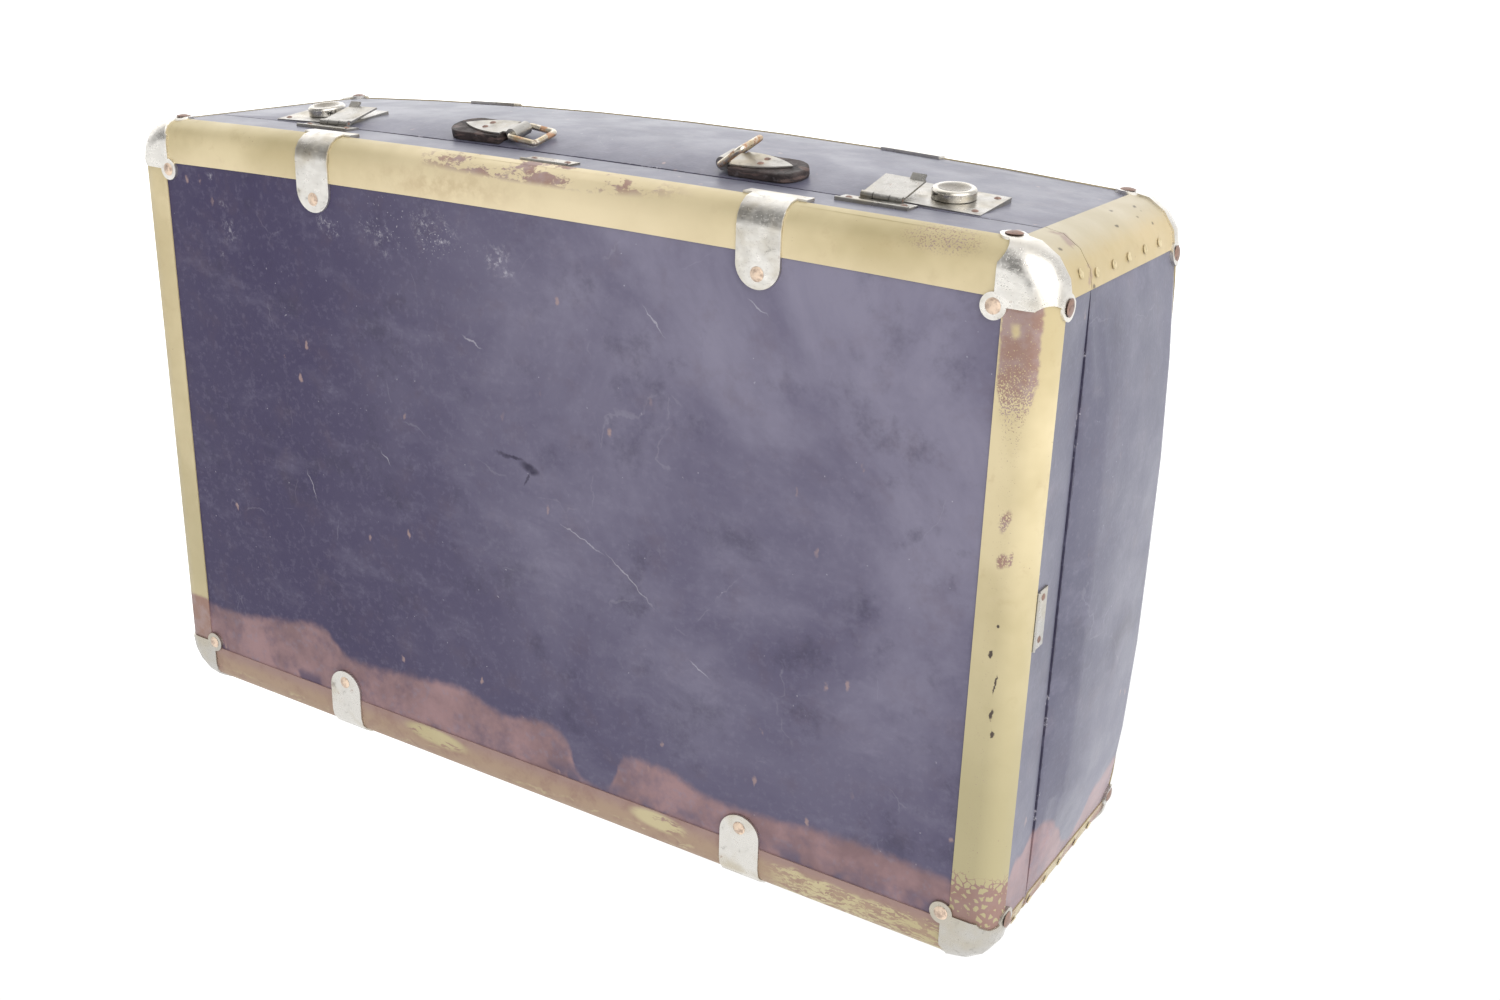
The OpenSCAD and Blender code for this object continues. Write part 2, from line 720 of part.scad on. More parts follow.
module lock_plate(side) color(nickel_colour) difference() {
  at_lock(side) difference() {
    translate([-lock_in, lock_back, -sink]) cube([lock_l, lock_w, sink + lock_t]);
    lock_cavity();
    translate([-staple_t / 2 - slot_margin, staple_y - slot_margin, -lock_case_h])
      cube([staple_t + 2 * slot_margin, staple_hook + 2 * slot_margin, 2 * lock_case_h]);
    for (x = [knob_x - knob_travel, knob_x]) translate([x, knob_y, -lock_case_h])
      cylinder(r = stem_r + slide_clear, h = 2 * lock_case_h);
    translate([knob_x - knob_travel, knob_y - stem_r - slide_clear, -lock_case_h])
      cube([knob_travel, 2 * (stem_r + slide_clear), 2 * lock_case_h]);
  }
  base_body(0);
}

module lock_case(side) color(nickel_colour) intersection() {
  at_lock(side) difference() {
    lock_well(0);
    translate([0, 0, lock_case_t]) lock_well(-lock_case_t);
  }
  base_body(0);
}

nose_y = staple_y + staple_t + (staple_hook - staple_t) / 2;
nose_x = staple_t / 2 + nose_clear;
bolt_start = knob_x - bolt_l / 2;
module lock_bolt(side) color(nickel_colour) at_lock(side) difference() {
  union() {
    translate([bolt_start, knob_y - bolt_w / 2, bolt_low]) cube([bolt_l, bolt_w, bolt_t]);
    translate([nose_x, nose_y - nose_w / 2, bolt_low]) cube([bolt_start - nose_x + lap, nose_w, bolt_t]);
  }
  translate([knob_x, knob_y, -lock_case_h]) cylinder(r = stem_r, h = lock_case_h);
}

module lock_knob(side) color(nickel_colour) at_lock(side) translate([knob_x, knob_y, 0]) {
  translate([0, 0, bolt_low]) cylinder(r = stem_r, h = lock_t + slide_clear + lap - bolt_low);
  dish_r = (knob_dish_r * knob_dish_r + knob_dish * knob_dish) / (2 * knob_dish);
  translate([0, 0, lock_t + slide_clear]) difference() {
    rotate_extrude() {
      square([knob_r - knob_lip, knob_h]);
      square([knob_r, knob_h - knob_lip]);
      translate([knob_r - knob_lip, knob_h - knob_lip]) circle(knob_lip);
    }
    translate([0, 0, knob_h + dish_r - knob_dish]) sphere(dish_r);
  }
}

// Hasps

outer_knuckle_l = hasp_w / 2 - knuckle_l / 2 - knuckle_gap;
module hasp_plate(side) color(nickel_colour) difference() {
  union() {
    difference() {
      at_hasp_plate(side) {
        translate([-hinge_plate_l / 2, -hinge_plate_w, -sink])
          cube([hinge_plate_l, hinge_plate_w - seam_gap, sink + hinge_plate_t]);
        translate([-hinge_plate_l / 2, -hinge_plate_w + hinge_roll_r, hinge_plate_t]) rotate([0, 90, 0])
          cylinder(r = hinge_roll_r, h = hinge_plate_l);
      }
      lid_body(0);
      at_lock(side) translate([-hasp_w / 2, 0, pin_h]) rotate([0, 90, 0])
        cylinder(r = knuckle_r + knuckle_gap, h = hasp_w);
    }
    at_lock(side) for (s = [-1, 1]) {
      translate([s * (knuckle_l / 2 + knuckle_gap + outer_knuckle_l / 2), 0, pin_h]) {
        rotate([0, 90, 0]) cylinder(r = knuckle_r, h = outer_knuckle_l, center = true);
        translate([-outer_knuckle_l / 2, -knuckle_r - tongue_l, -knuckle_r])
          cube([outer_knuckle_l, knuckle_r + tongue_l, tongue_t]);
      }
    }
  }
  at_lock(side) translate([-hasp_w, 0, pin_h]) rotate([0, 90, 0])
    cylinder(r = pin_r + pin_clear, h = 2 * hasp_w);
}

module hasp_pins() color(rust_colour)
  for (side = [-1, 1]) at_lock(side) translate([-hasp_w / 2, 0, pin_h]) rotate([0, 90, 0])
    cylinder(r = pin_r, h = hasp_w);

// The hasp in its shut place, its underside just over the lock plate
hasp_low = lock_t + slide_clear;
module shut_hasp() difference() {
  union() {
    translate([-hasp_w / 2, knuckle_r + knuckle_gap, hasp_low])
      cube([hasp_w, hasp_l - knuckle_r - knuckle_gap, hasp_t]);
    translate([-knuckle_l / 2, 0, hasp_low]) cube([knuckle_l, knuckle_r + knuckle_gap + lap, hasp_t]);
    translate([0, 0, pin_h]) rotate([0, 90, 0]) cylinder(r = knuckle_r, h = knuckle_l, center = true);
    translate([hasp_w / 2 - tab_in - tab_w, hasp_l - hasp_t, hasp_low + hasp_t / 4])
      rotate([tab_bend, 0, 0]) cube([tab_w, tab_l, hasp_t]);
    translate([-staple_t / 2, staple_y, hook_low]) {
      cube([staple_t, staple_t, hasp_low - hook_low + hasp_t / 2]);
      cube([staple_t, staple_hook, hook_t]);
    }
  }
  translate([0, 0, pin_h]) rotate([0, 90, 0])
    cylinder(r = pin_r + pin_clear, h = 2 * hasp_w, center = true);
}

module hasp(side) color(nickel_colour) at_lock(side)
  translate([0, 0, pin_h]) rotate([hasp_lift, 0, 0]) translate([0, 0, -pin_h]) shut_hasp();

// Handle mounts, in a frame whose origin is on the wall under the barrel

module handle_pad(side) color(leather_colour) difference() {
  at_handle(side) translate([pad_start, 0, -sink]) linear_extrude(sink + pad_t) {
    translate([0, -pad_w / 2]) square([pad_l - pad_w / 2, pad_w]);
    translate([pad_l - pad_w / 2, 0]) circle(d = pad_w);
  }
  base_body(0);
}

module leaf() {
  half_l = cover_l - cover_belly;
  r = (half_l * half_l + cover_w * cover_w / 4) / cover_w;
  intersection() {
    translate([cover_belly, r - cover_w / 2]) circle(r, $fn = leaf_fn);
    translate([cover_belly, cover_w / 2 - r]) circle(r, $fn = leaf_fn);
    translate([pad_start, -cover_w]) square([cover_l, 2 * cover_w]);
  }
}

module handle_cover(side) color(nickel_colour) at_handle(side) difference() {
  union() {
    translate([0, 0, pad_t]) linear_extrude(cover_t) leaf();
    translate([0, -barrel_l / 2, pad_t]) cube([pad_start + lap, barrel_l, cover_t]);
    translate([0, 0, barrel_h]) rotate([90, 0, 0]) cylinder(r = barrel_r, h = barrel_l, center = true);
  }
  translate([0, 0, barrel_h]) rotate([90, 0, 0])
    cylinder(r = wire_r + pin_clear, h = 2 * barrel_l, center = true);
}

// Closed wire loop in X and Y, its first bar on the Y axis
module wire_loop() {
  run_w = loop_w - 2 * bend_r;
  run_l = loop_l - 2 * bend_r;
  for (x = [0, loop_l]) translate([x, 0, 0]) rotate([90, 0, 0])
    cylinder(r = wire_r, h = run_w, center = true);
  for (s = [-1, 1]) translate([bend_r, s * loop_w / 2, 0]) rotate([0, 90, 0])
    cylinder(r = wire_r, h = run_l);
  for (x = [0, 1], s = [0, 1])
    translate([loop_l / 2, 0, 0]) mirror([x, 0, 0]) mirror([0, s, 0])
      translate([run_l / 2, run_w / 2, 0]) rotate_extrude(angle = 90) translate([bend_r, 0]) circle(wire_r);
}

module handle_loop(side, turn) color(rust_colour)
  at_handle(side) translate([0, 0, barrel_h]) rotate([0, -turn, 0]) wire_loop();

// Hinges on the bottom side

function hinge_part(k) = hinge_l * (k / 3 - 1 / 2);
module at_hinges() for (side = [-1, 1]) translate([side * hinge_x, seam_y, foot_z]) children();

module hinge_notches() at_hinges()
  translate([-hinge_l / 2 - knuckle_gap, -hinge_r - knuckle_gap, -lap])
    cube([hinge_l + 2 * knuckle_gap, 2 * (hinge_r + knuckle_gap), wall_t + 2 * lap]);

module hinge_knuckle(k) translate([hinge_part(k) + knuckle_gap / 2, 0, 0]) rotate([0, 90, 0])
  cylinder(r = hinge_r, h = hinge_l / 3 - knuckle_gap);

// Leaf on one side of the seam, with the knuckles of its own side
module hinge_leaf(dir, own) difference() {
  union() {
    difference() {
      translate([-hinge_l / 2, dir < 0 ? -leaf_w : 0, -leaf_t]) cube([hinge_l, leaf_w, leaf_t]);
      for (k = [0 : 2]) if (!own[k])
        translate([hinge_part(k) - knuckle_gap / 2, -hinge_r - 2 * knuckle_gap, -leaf_w])
          cube([hinge_l / 3 + knuckle_gap, 2 * hinge_r + 4 * knuckle_gap, 2 * leaf_w]);
    }
    for (k = [0 : 2]) if (own[k]) hinge_knuckle(k);
  }
  rotate([0, 90, 0]) cylinder(r = hinge_pin_r + pin_clear, h = 2 * hinge_l, center = true);
}

module lid_hinge_leaves() color(nickel_colour) at_hinges() hinge_leaf(-1, [true, false, true]);
module base_hinge_leaves() color(nickel_colour) at_hinges() hinge_leaf(1, [false, true, false]);
module hinge_pins() color(rust_colour) at_hinges() rotate([0, 90, 0])
  cylinder(r = hinge_pin_r, h = hinge_l - knuckle_gap, center = true);

lid_front_panel();
lid_wall_band();
lid_lining();
lid_trim(0, 1);  // lid_trim_top
lid_trim(0, -1);  // lid_trim_bottom
lid_trim(-1, 0);  // lid_trim_left
lid_trim(1, 0);  // lid_trim_right
lid_corner_bands();
lid_corner_cap(-1, 1);  // lid_corner_cap_top_left
lid_corner_cap(1, 1);  // lid_corner_cap_top_right
lid_corner_cap(-1, -1);  // lid_corner_cap_bottom_left
lid_corner_cap(1, -1);  // lid_corner_cap_bottom_right
lid_edge_clip(-1, 1);  // lid_edge_clip_top_left
lid_edge_clip(1, 1);  // lid_edge_clip_top_right
lid_edge_clip(-1, -1);  // lid_edge_clip_bottom_left
lid_edge_clip(1, -1);  // lid_edge_clip_bottom_right
lid_rivets();
lid_wall_plates();
lid_hinge_leaves();
hasp_plate(-1);  // hasp_plate_left
hasp_plate(1);  // hasp_plate_right
hasp_pins();
base_back_panel();
base_wall_band();
base_lining();
base_rim();
base_trim(0, 1);  // base_trim_top
base_trim(0, -1);  // base_trim_bottom
base_trim(-1, 0);  // base_trim_left
base_trim(1, 0);  // base_trim_right
base_corner_bands();
base_corner_cap(-1, 1);  // base_corner_cap_top_left
base_corner_cap(1, 1);  // base_corner_cap_top_right
base_corner_cap(-1, -1);  // base_corner_cap_bottom_left
base_corner_cap(1, -1);  // base_corner_cap_bottom_right
base_edge_clip(-1, 1);  // base_edge_clip_top_left
base_edge_clip(1, 1);  // base_edge_clip_top_right
base_edge_clip(-1, -1);  // base_edge_clip_bottom_left
base_edge_clip(1, -1);  // base_edge_clip_bottom_right
base_rivets();
base_hinge_leaves();
hinge_pins();
lock_plate(-1);  // lock_plate_left
lock_plate(1);  // lock_plate_right
lock_case(-1);  // lock_case_left
lock_case(1);  // lock_case_right
handle_pad(-1);  // handle_pad_left
handle_pad(1);  // handle_pad_right
handle_cover(-1);  // handle_cover_left
handle_cover(1);  // handle_cover_right
hasp(-1);  // hasp_left
hasp(1);  // hasp_right
lock_knob(-1);  // lock_knob_left
lock_knob(1);  // lock_knob_right
lock_bolt(-1);  // lock_bolt_left
lock_bolt(1);  // lock_bolt_right
handle_loop(-1, lying_turn);  // handle_loop_left
handle_loop(1, loop_raise);  // handle_loop_right
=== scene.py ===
import json
import math

import bpy
from mathutils import Matrix, Vector

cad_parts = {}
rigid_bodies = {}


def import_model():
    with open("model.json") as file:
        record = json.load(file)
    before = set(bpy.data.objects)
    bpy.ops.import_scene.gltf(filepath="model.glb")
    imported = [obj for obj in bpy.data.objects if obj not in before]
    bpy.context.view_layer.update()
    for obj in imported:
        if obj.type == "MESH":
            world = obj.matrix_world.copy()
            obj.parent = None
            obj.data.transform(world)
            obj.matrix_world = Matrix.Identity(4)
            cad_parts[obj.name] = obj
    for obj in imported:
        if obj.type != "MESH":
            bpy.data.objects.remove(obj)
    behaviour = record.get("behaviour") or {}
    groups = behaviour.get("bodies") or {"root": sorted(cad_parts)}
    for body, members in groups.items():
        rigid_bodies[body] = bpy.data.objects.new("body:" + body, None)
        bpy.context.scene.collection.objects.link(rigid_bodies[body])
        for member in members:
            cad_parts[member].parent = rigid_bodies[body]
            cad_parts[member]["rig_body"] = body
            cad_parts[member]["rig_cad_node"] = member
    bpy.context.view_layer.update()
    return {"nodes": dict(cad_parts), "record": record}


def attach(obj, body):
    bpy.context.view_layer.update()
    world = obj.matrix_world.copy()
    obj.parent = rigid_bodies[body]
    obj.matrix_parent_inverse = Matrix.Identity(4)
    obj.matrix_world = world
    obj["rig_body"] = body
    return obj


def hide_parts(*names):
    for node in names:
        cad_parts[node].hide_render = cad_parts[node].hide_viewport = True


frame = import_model()
record = frame["record"]
slotOfNode = {row["node"]: row["material_slot"] for row in record["subparts"]}
bodyOfNode = {node: body for body, nodes in record["behaviour"]["bodies"].items() for node in nodes}
bpy.ops.object.select_all(action="DESELECT")
print("frame loaded:", len(frame["nodes"]), "solids")


# node helpers: every pattern reads Object coordinates, in metres
def startMaterial(name):
    mat = bpy.data.materials.new(name)
    mat.use_nodes = True
    tree = mat.node_tree
    place = tree.nodes.new("ShaderNodeTexCoord").outputs["Object"]
    return mat, tree, tree.nodes["Principled BSDF"], place


def feed(tree, socket, value):
    if isinstance(value, bpy.types.NodeSocket):
        tree.links.new(value, socket)
    elif isinstance(value, tuple) and len(value) == 3 and socket.type == "RGBA":
        socket.default_value = (*value, 1.0)
    else:
        socket.default_value = value


def stretched(tree, place, scale, turn=(0, 0, 0)):
    mapping = tree.nodes.new("ShaderNodeMapping")
    tree.links.new(place, mapping.inputs["Vector"])
    mapping.inputs["Scale"].default_value = scale
    mapping.inputs["Rotation"].default_value = turn
    return mapping.outputs["Vector"]


def noise(tree, place, scale, detail=3.0, roughness=0.55, distortion=0.0):
    n = tree.nodes.new("ShaderNodeTexNoise")
    tree.links.new(place, n.inputs["Vector"])
    n.inputs["Scale"].default_value = scale
    n.inputs["Detail"].default_value = detail
    n.inputs["Roughness"].default_value = roughness
    n.inputs["Distortion"].default_value = distortion
    return n.outputs["Fac"]


def wander(tree, place, scale, amount):
    n = tree.nodes.new("ShaderNodeTexNoise")
    tree.links.new(place, n.inputs["Vector"])
    n.inputs["Scale"].default_value = scale
    n.inputs["Detail"].default_value = 4.0
    centred = tree.nodes.new("ShaderNodeVectorMath")
    centred.operation = "SUBTRACT"
    tree.links.new(n.outputs["Color"], centred.inputs[0])
    centred.inputs[1].default_value = (0.5, 0.5, 0.5)
    moved = tree.nodes.new("ShaderNodeVectorMath")
    moved.operation = "MULTIPLY_ADD"
    tree.links.new(centred.outputs[0], moved.inputs[0])
    moved.inputs[1].default_value = (amount, amount, amount)
    tree.links.new(place, moved.inputs[2])
    return moved.outputs[0]


def cells(tree, place, scale, feature="F1"):
    v = tree.nodes.new("ShaderNodeTexVoronoi")
    v.feature = feature
    tree.links.new(place, v.inputs["Vector"])
    v.inputs["Scale"].default_value = scale
    return v.outputs["Distance"]


def ramp(tree, value, low, high, bottom=0.0, top=1.0):
    r = tree.nodes.new("ShaderNodeMapRange")
    r.interpolation_type = "SMOOTHSTEP"
    feed(tree, r.inputs["Value"], value)
    r.inputs["From Min"].default_value = low
    r.inputs["From Max"].default_value = high
    r.inputs["To Min"].default_value = bottom
    r.inputs["To Max"].default_value = top
    return r.outputs["Result"]


def calc(tree, operation, a, b=0.0):
    m = tree.nodes.new("ShaderNodeMath")
    m.operation = operation
    feed(tree, m.inputs[0], a)
    feed(tree, m.inputs[1], b)
    return m.outputs[0]


def both(tree, a, b):
    return calc(tree, "MULTIPLY", a, b)


def lineOf(tree, value, span, top, points):
    # smooth line through (place, height) pairs
    low, high = span
    node = tree.nodes.new("ShaderNodeFloatCurve")
    line = node.mapping.curves[0]
    pairs = [((x - low) / (high - low), y / top) for x, y in points]
    line.points[0].location, line.points[1].location = pairs[0], pairs[-1]
    for pair in pairs[1:-1]:
        line.points.new(*pair)
    node.mapping.update()
    share = calc(tree, "DIVIDE", calc(tree, "SUBTRACT", value, low), high - low)
    feed(tree, node.inputs["Value"], share)
    return both(tree, node.outputs["Value"], top)


def most(tree, masks):
    total = masks[0]
    for mask in masks[1:]:
        total = calc(tree, "MAXIMUM", total, mask)
    return total


def blendColour(tree, share, under, over):
    m = tree.nodes.new("ShaderNodeMix")
    m.data_type = "RGBA"
    feed(tree, m.inputs[0], share)
    feed(tree, m.inputs[6], under)
    feed(tree, m.inputs[7], over)
    return m.outputs[2]


def axisOf(tree, place, axis):
    s = tree.nodes.new("ShaderNodeSeparateXYZ")
    tree.links.new(place, s.inputs[0])
    return s.outputs[axis]


def patch(tree, place, centre, radii, turn, core):
    # soft oval round a place, turned about the depth axis, full inside its core
    mapping = tree.nodes.new("ShaderNodeMapping")
    mapping.vector_type = "TEXTURE"
    tree.links.new(place, mapping.inputs["Vector"])
    mapping.inputs["Location"].default_value = centre
    mapping.inputs["Rotation"].default_value = (0, turn, 0)
    mapping.inputs["Scale"].default_value = radii
    length = tree.nodes.new("ShaderNodeVectorMath")
    length.operation = "LENGTH"
    tree.links.new(mapping.outputs["Vector"], length.inputs[0])
    return ramp(tree, length.outputs["Value"], 1.0, core)


def raiseSurface(tree, shader, heights):
    # one bump after another: (height, distance in metres, strength)
    normal = None
    for height, distance, strength in heights:
        bump = tree.nodes.new("ShaderNodeBump")
        feed(tree, bump.inputs["Height"], height)
        bump.inputs["Distance"].default_value = distance
        bump.inputs["Strength"].default_value = strength
        if normal is not None:
            tree.links.new(normal, bump.inputs["Normal"])
        normal = bump.outputs["Normal"]
    tree.links.new(normal, shader.inputs["Normal"])


fibreLook = {
    "violet": (0.037, 0.028, 0.078),
    "wallViolet": (0.040, 0.040, 0.080),
    "faded": (0.205, 0.193, 0.262),
    "deep": (0.022, 0.017, 0.043),
    "warm": (0.092, 0.062, 0.082),
    "brown": (0.298, 0.184, 0.188),
    "brownDark": (0.188, 0.114, 0.120),
    "fleck": (0.480, 0.465, 0.510),
    "rustFleck": (0.330, 0.225, 0.205),
    # upper edge of the worn brown band along the front's foot
    "bandEdge": ((-0.35, 0.069), (-0.297, 0.066), (-0.235, 0.075), (-0.203, 0.080),
                 (-0.165, 0.062), (-0.10, 0.066), (-0.06, 0.070), (-0.025, 0.062),
                 (0.017, 0.066), (0.046, 0.036), (0.060, 0.031), (0.086, 0.063),
                 (0.117, 0.063), (0.151, 0.054), (0.255, 0.060), (0.35, 0.054)),
    "bandSpan": (-0.35, 0.35), "bandTop": 0.1, "bandSoft": (0.0044, -0.0042), "islands": (0.046, 0.033),
    "wallBand": (0.0520, 0.0460), "wallWave": (-0.024, 0.030),
    "faceY": -0.102, "faceDeep": 0.05,
    # centre, radii and turn of each dark stroke
    "smudge": (((0.006, -0.102, 0.2495), (0.0105, 0.03, 0.0042), 0.35),
               ((-0.010, -0.102, 0.2545), (0.016, 0.03, 0.0018), 0.10),
               ((0.003, -0.102, 0.2415), (0.0012, 0.03, 0.0075), 0.35)),
    # x, z and radius of each pale rub
    "scuffs": ((-0.258, 0.372, 0.016), (-0.162, 0.386, 0.017), (-0.118, 0.385, 0.024),
               (-0.070, 0.394, 0.030), (-0.015, 0.382, 0.020), (-0.264, 0.388, 0.006),
               (-0.269, 0.352, 0.006), (-0.277, 0.404, 0.007), (-0.180, 0.402, 0.008)),
    # x, z and radius of each pale patch on the right half: fading, with painted light over it
    "haze": ((0.022, 0.392, 0.070), (0.239, 0.386, 0.095), (0.182, 0.223, 0.085),
             (0.013, 0.187, 0.085), (0.141, 0.123, 0.075), (0.268, 0.149, 0.065)),
    "spray": ((-0.085, -0.102, 0.392), (0.072, 0.05, 0.0225)),
    # start and end of each scratch
    "scratches": (((0.092, 0.374), (0.112, 0.353)), ((0.166, 0.388), (0.182, 0.377)),
                  ((0.062, 0.210), (0.109, 0.174)), ((0.026, 0.219), (0.070, 0.202)),
                  ((-0.202, 0.208), (-0.190, 0.180)), ((-0.127, 0.236), (-0.116, 0.224)),
                  ((0.130, 0.150), (0.150, 0.138)), ((-0.05, 0.330), (-0.03, 0.322))),
    "scratchWide": 0.0007,
    "seamY": -0.052, "seamWide": (0.0010, 0.0004), "chipWide": (0.0014, 0.0006),
    "smear": ((0.356, 0.039, 0.178), (0.04, 0.045, 0.011)),
    "gloss": (0.34, 0.46), "frontSpecular": 0.30, "wallSpecular": 0.55,
    "wallSheen": 0.26, "sheenRough": 0.42, "sheenTint": (0.90, 0.94, 1.0, 1.0),
}


def groundFadeAndLight(tree, place, loose, wipe, mottle, side):
    look = fibreLook
    patchy = ramp(tree, noise(tree, place, 6.5, 6.0, 0.62, 0.5), 0.32, 0.70, 0.45, 1.20)
    if side == "front":
        # lighter towards the upper right, partly faded and partly painted light falling from the right; still
        # dark at the left and low down
        across, up = axisOf(tree, loose, "X"), axisOf(tree, loose, "Z")
        share = both(tree, ramp(tree, across, -0.24, 0.10, 0.0, 0.70), ramp(tree, up, 0.03, 0.24, 0.40, 1.0))
        corner = calc(tree, "ADD", both(tree, across, 0.6), up)
        share = calc(tree, "ADD", share, ramp(tree, corner, 0.36, 0.56, 0.0, 0.34))
        colour = blendColour(tree, both(tree, share, patchy), look["violet"], look["faded"])
    else:
        colour = blendColour(tree, both(tree, patchy, 0.22), look["wallViolet"], look["faded"])
    stains = noise(tree, place, 24.0, 6.0, 0.7)
    dust = noise(tree, place, 260.0, 3.0, 0.6)
    colour = blendColour(tree, ramp(tree, wipe, 0.50, 0.78, 0.0, 0.26), colour, look["faded"])
    colour = blendColour(tree, ramp(tree, mottle, 0.50, 0.74, 0.0, 0.22), colour, look["warm"])
    colour = blendColour(tree, ramp(tree, stains, 0.52, 0.74, 0.0, 0.45), colour, look["deep"])
    return blendColour(tree, ramp(tree, dust, 0.50, 0.72, 0.0, 0.16), colour, look["faded"])


def addFlecks(tree, place, loose, fine, colour):
    look = fibreLook
    ticks = ramp(tree, cells(tree, stretched(tree, fine, (1.0, 1.0, 0.45)), 54.0), 0.105, 0.045)
    ticks = both(tree, ticks, ramp(tree, noise(tree, place, 14.0, 3.0), 0.47, 0.58))
    colour = blendColour(tree, both(tree, ticks, 0.75), colour, look["rustFleck"])
    specks = ramp(tree, cells(tree, fine, 120.0), 0.075, 0.030)
    specks = both(tree, specks, ramp(tree, noise(tree, place, 33.0, 2.0), 0.51, 0.62))
    colour = blendColour(tree, both(tree, specks, 0.55), colour, look["fleck"])
    # hairline scratches in broken arcs
    arcs = stretched(tree, loose, (1.3, 1.3, 0.8), (0, 0.6, 0))
    hairs = ramp(tree, cells(tree, arcs, 8.0, "DISTANCE_TO_EDGE"), 0.0045, 0.0010)
    hairs = both(tree, hairs, ramp(tree, noise(tree, place, 27.0, 3.0), 0.53, 0.62))
    return blendColour(tree, both(tree, hairs, 0.09), colour, look["fleck"])


def rubs(tree, place, places, flat, turn):
    y, deep = fibreLook["faceY"], fibreLook["faceDeep"]
    return most(tree, [patch(tree, place, (x, y, z), (r, deep, r * flat), turn, 0.0) for x, z, r in places])


def scratch(tree, place, start, end):
    # thin line from one place to another on the front face
    look = fibreLook
    (x0, z0), (x1, z1) = start, end
    middle = ((x0 + x1) / 2, look["faceY"], (z0 + z1) / 2)
    radii = (math.hypot(x1 - x0, z1 - z0) / 2, look["faceDeep"], look["scratchWide"])
    return patch(tree, place, middle, radii, -math.atan2(z1 - z0, x1 - x0), 0.3)


def markFront(tree, place, loose, fine, wipe, mottle, colour):
    look = fibreLook
    # pale patches: fading, and painted light falling from the right
    haze = both(tree, rubs(tree, loose, look["haze"], 0.8, 0.0), ramp(tree, wipe, 0.30, 0.70, 0.12, 0.48))
    colour = blendColour(tree, haze, colour, look["faded"])
    chalk = ramp(tree, noise(tree, fine, 240.0, 5.0, 0.75), 0.49, 0.69)
    scuffs = both(tree, rubs(tree, loose, look["scuffs"], 0.6, 0.3), chalk)
    colour = blendColour(tree, both(tree, scuffs, 0.66), colour, look["fleck"])
    drops = ramp(tree, cells(tree, fine, 300.0), 0.17, 0.08)
    spray = both(tree, patch(tree, loose, *look["spray"], 0.1, 0.1), drops)
    colour = blendColour(tree, both(tree, spray, 0.75), colour, look["fleck"])
    smudge = most(tree, [patch(tree, fine, *stroke, 0.3) for stroke in look["smudge"]])
    smudge = both(tree, smudge, ramp(tree, mottle, 0.3, 0.55, 0.45, 0.95))
    colour = blendColour(tree, smudge, colour, look["deep"])
    lines = most(tree, [scratch(tree, fine, start, end) for start, end in look["scratches"]])
    colour = blendColour(tree, both(tree, lines, 0.42), colour, look["fleck"])
    edge = lineOf(tree, axisOf(tree, loose, "X"), look["bandSpan"], look["bandTop"], look["bandEdge"])
    band = ramp(tree, calc(tree, "SUBTRACT", axisOf(tree, fine, "Z"), edge), *look["bandSoft"])
    kept = ramp(tree, noise(tree, loose, 21.0, 3.0), 0.50, 0.60, 0.0, 0.75)
    islands = both(tree, ramp(tree, axisOf(tree, place, "Z"), *look["islands"]), kept)
    return colour, both(tree, band, calc(tree, "SUBTRACT", 1.0, islands))


def markWall(tree, place, loose, fine, mottle, colour, side):
    look = fibreLook
    flat = stretched(tree, place, (1.0, 1.0, 0.0))
    wave = ramp(tree, noise(tree, flat, 9.0, 3.0, 0.5), 0.3, 0.7, *look["wallWave"])
    band = ramp(tree, calc(tree, "SUBTRACT", axisOf(tree, fine, "Z"), wave), *look["wallBand"])
    off = calc(tree, "ABSOLUTE", calc(tree, "SUBTRACT", axisOf(tree, fine, "Y"), look["seamY"]))
    broken = ramp(tree, noise(tree, place, 85.0, 5.0, 0.7), 0.60, 0.68)
    chips = both(tree, ramp(tree, off, *look["chipWide"]), broken)
    # painted shade: a dark line along the seam between lid and base
    colour = blendColour(tree, ramp(tree, off, *look["seamWide"], 0.0, 0.7), colour, look["deep"])
    colour = blendColour(tree, both(tree, chips, 0.75), colour, look["fleck"])
    if side == "wall":
        smear = patch(tree, loose, *look["smear"], 0.0, 0.1)
        smear = both(tree, smear, ramp(tree, mottle, 0.35, 0.6, 0.2, 0.7))
        colour = blendColour(tree, smear, colour, look["deep"])
    return colour, band


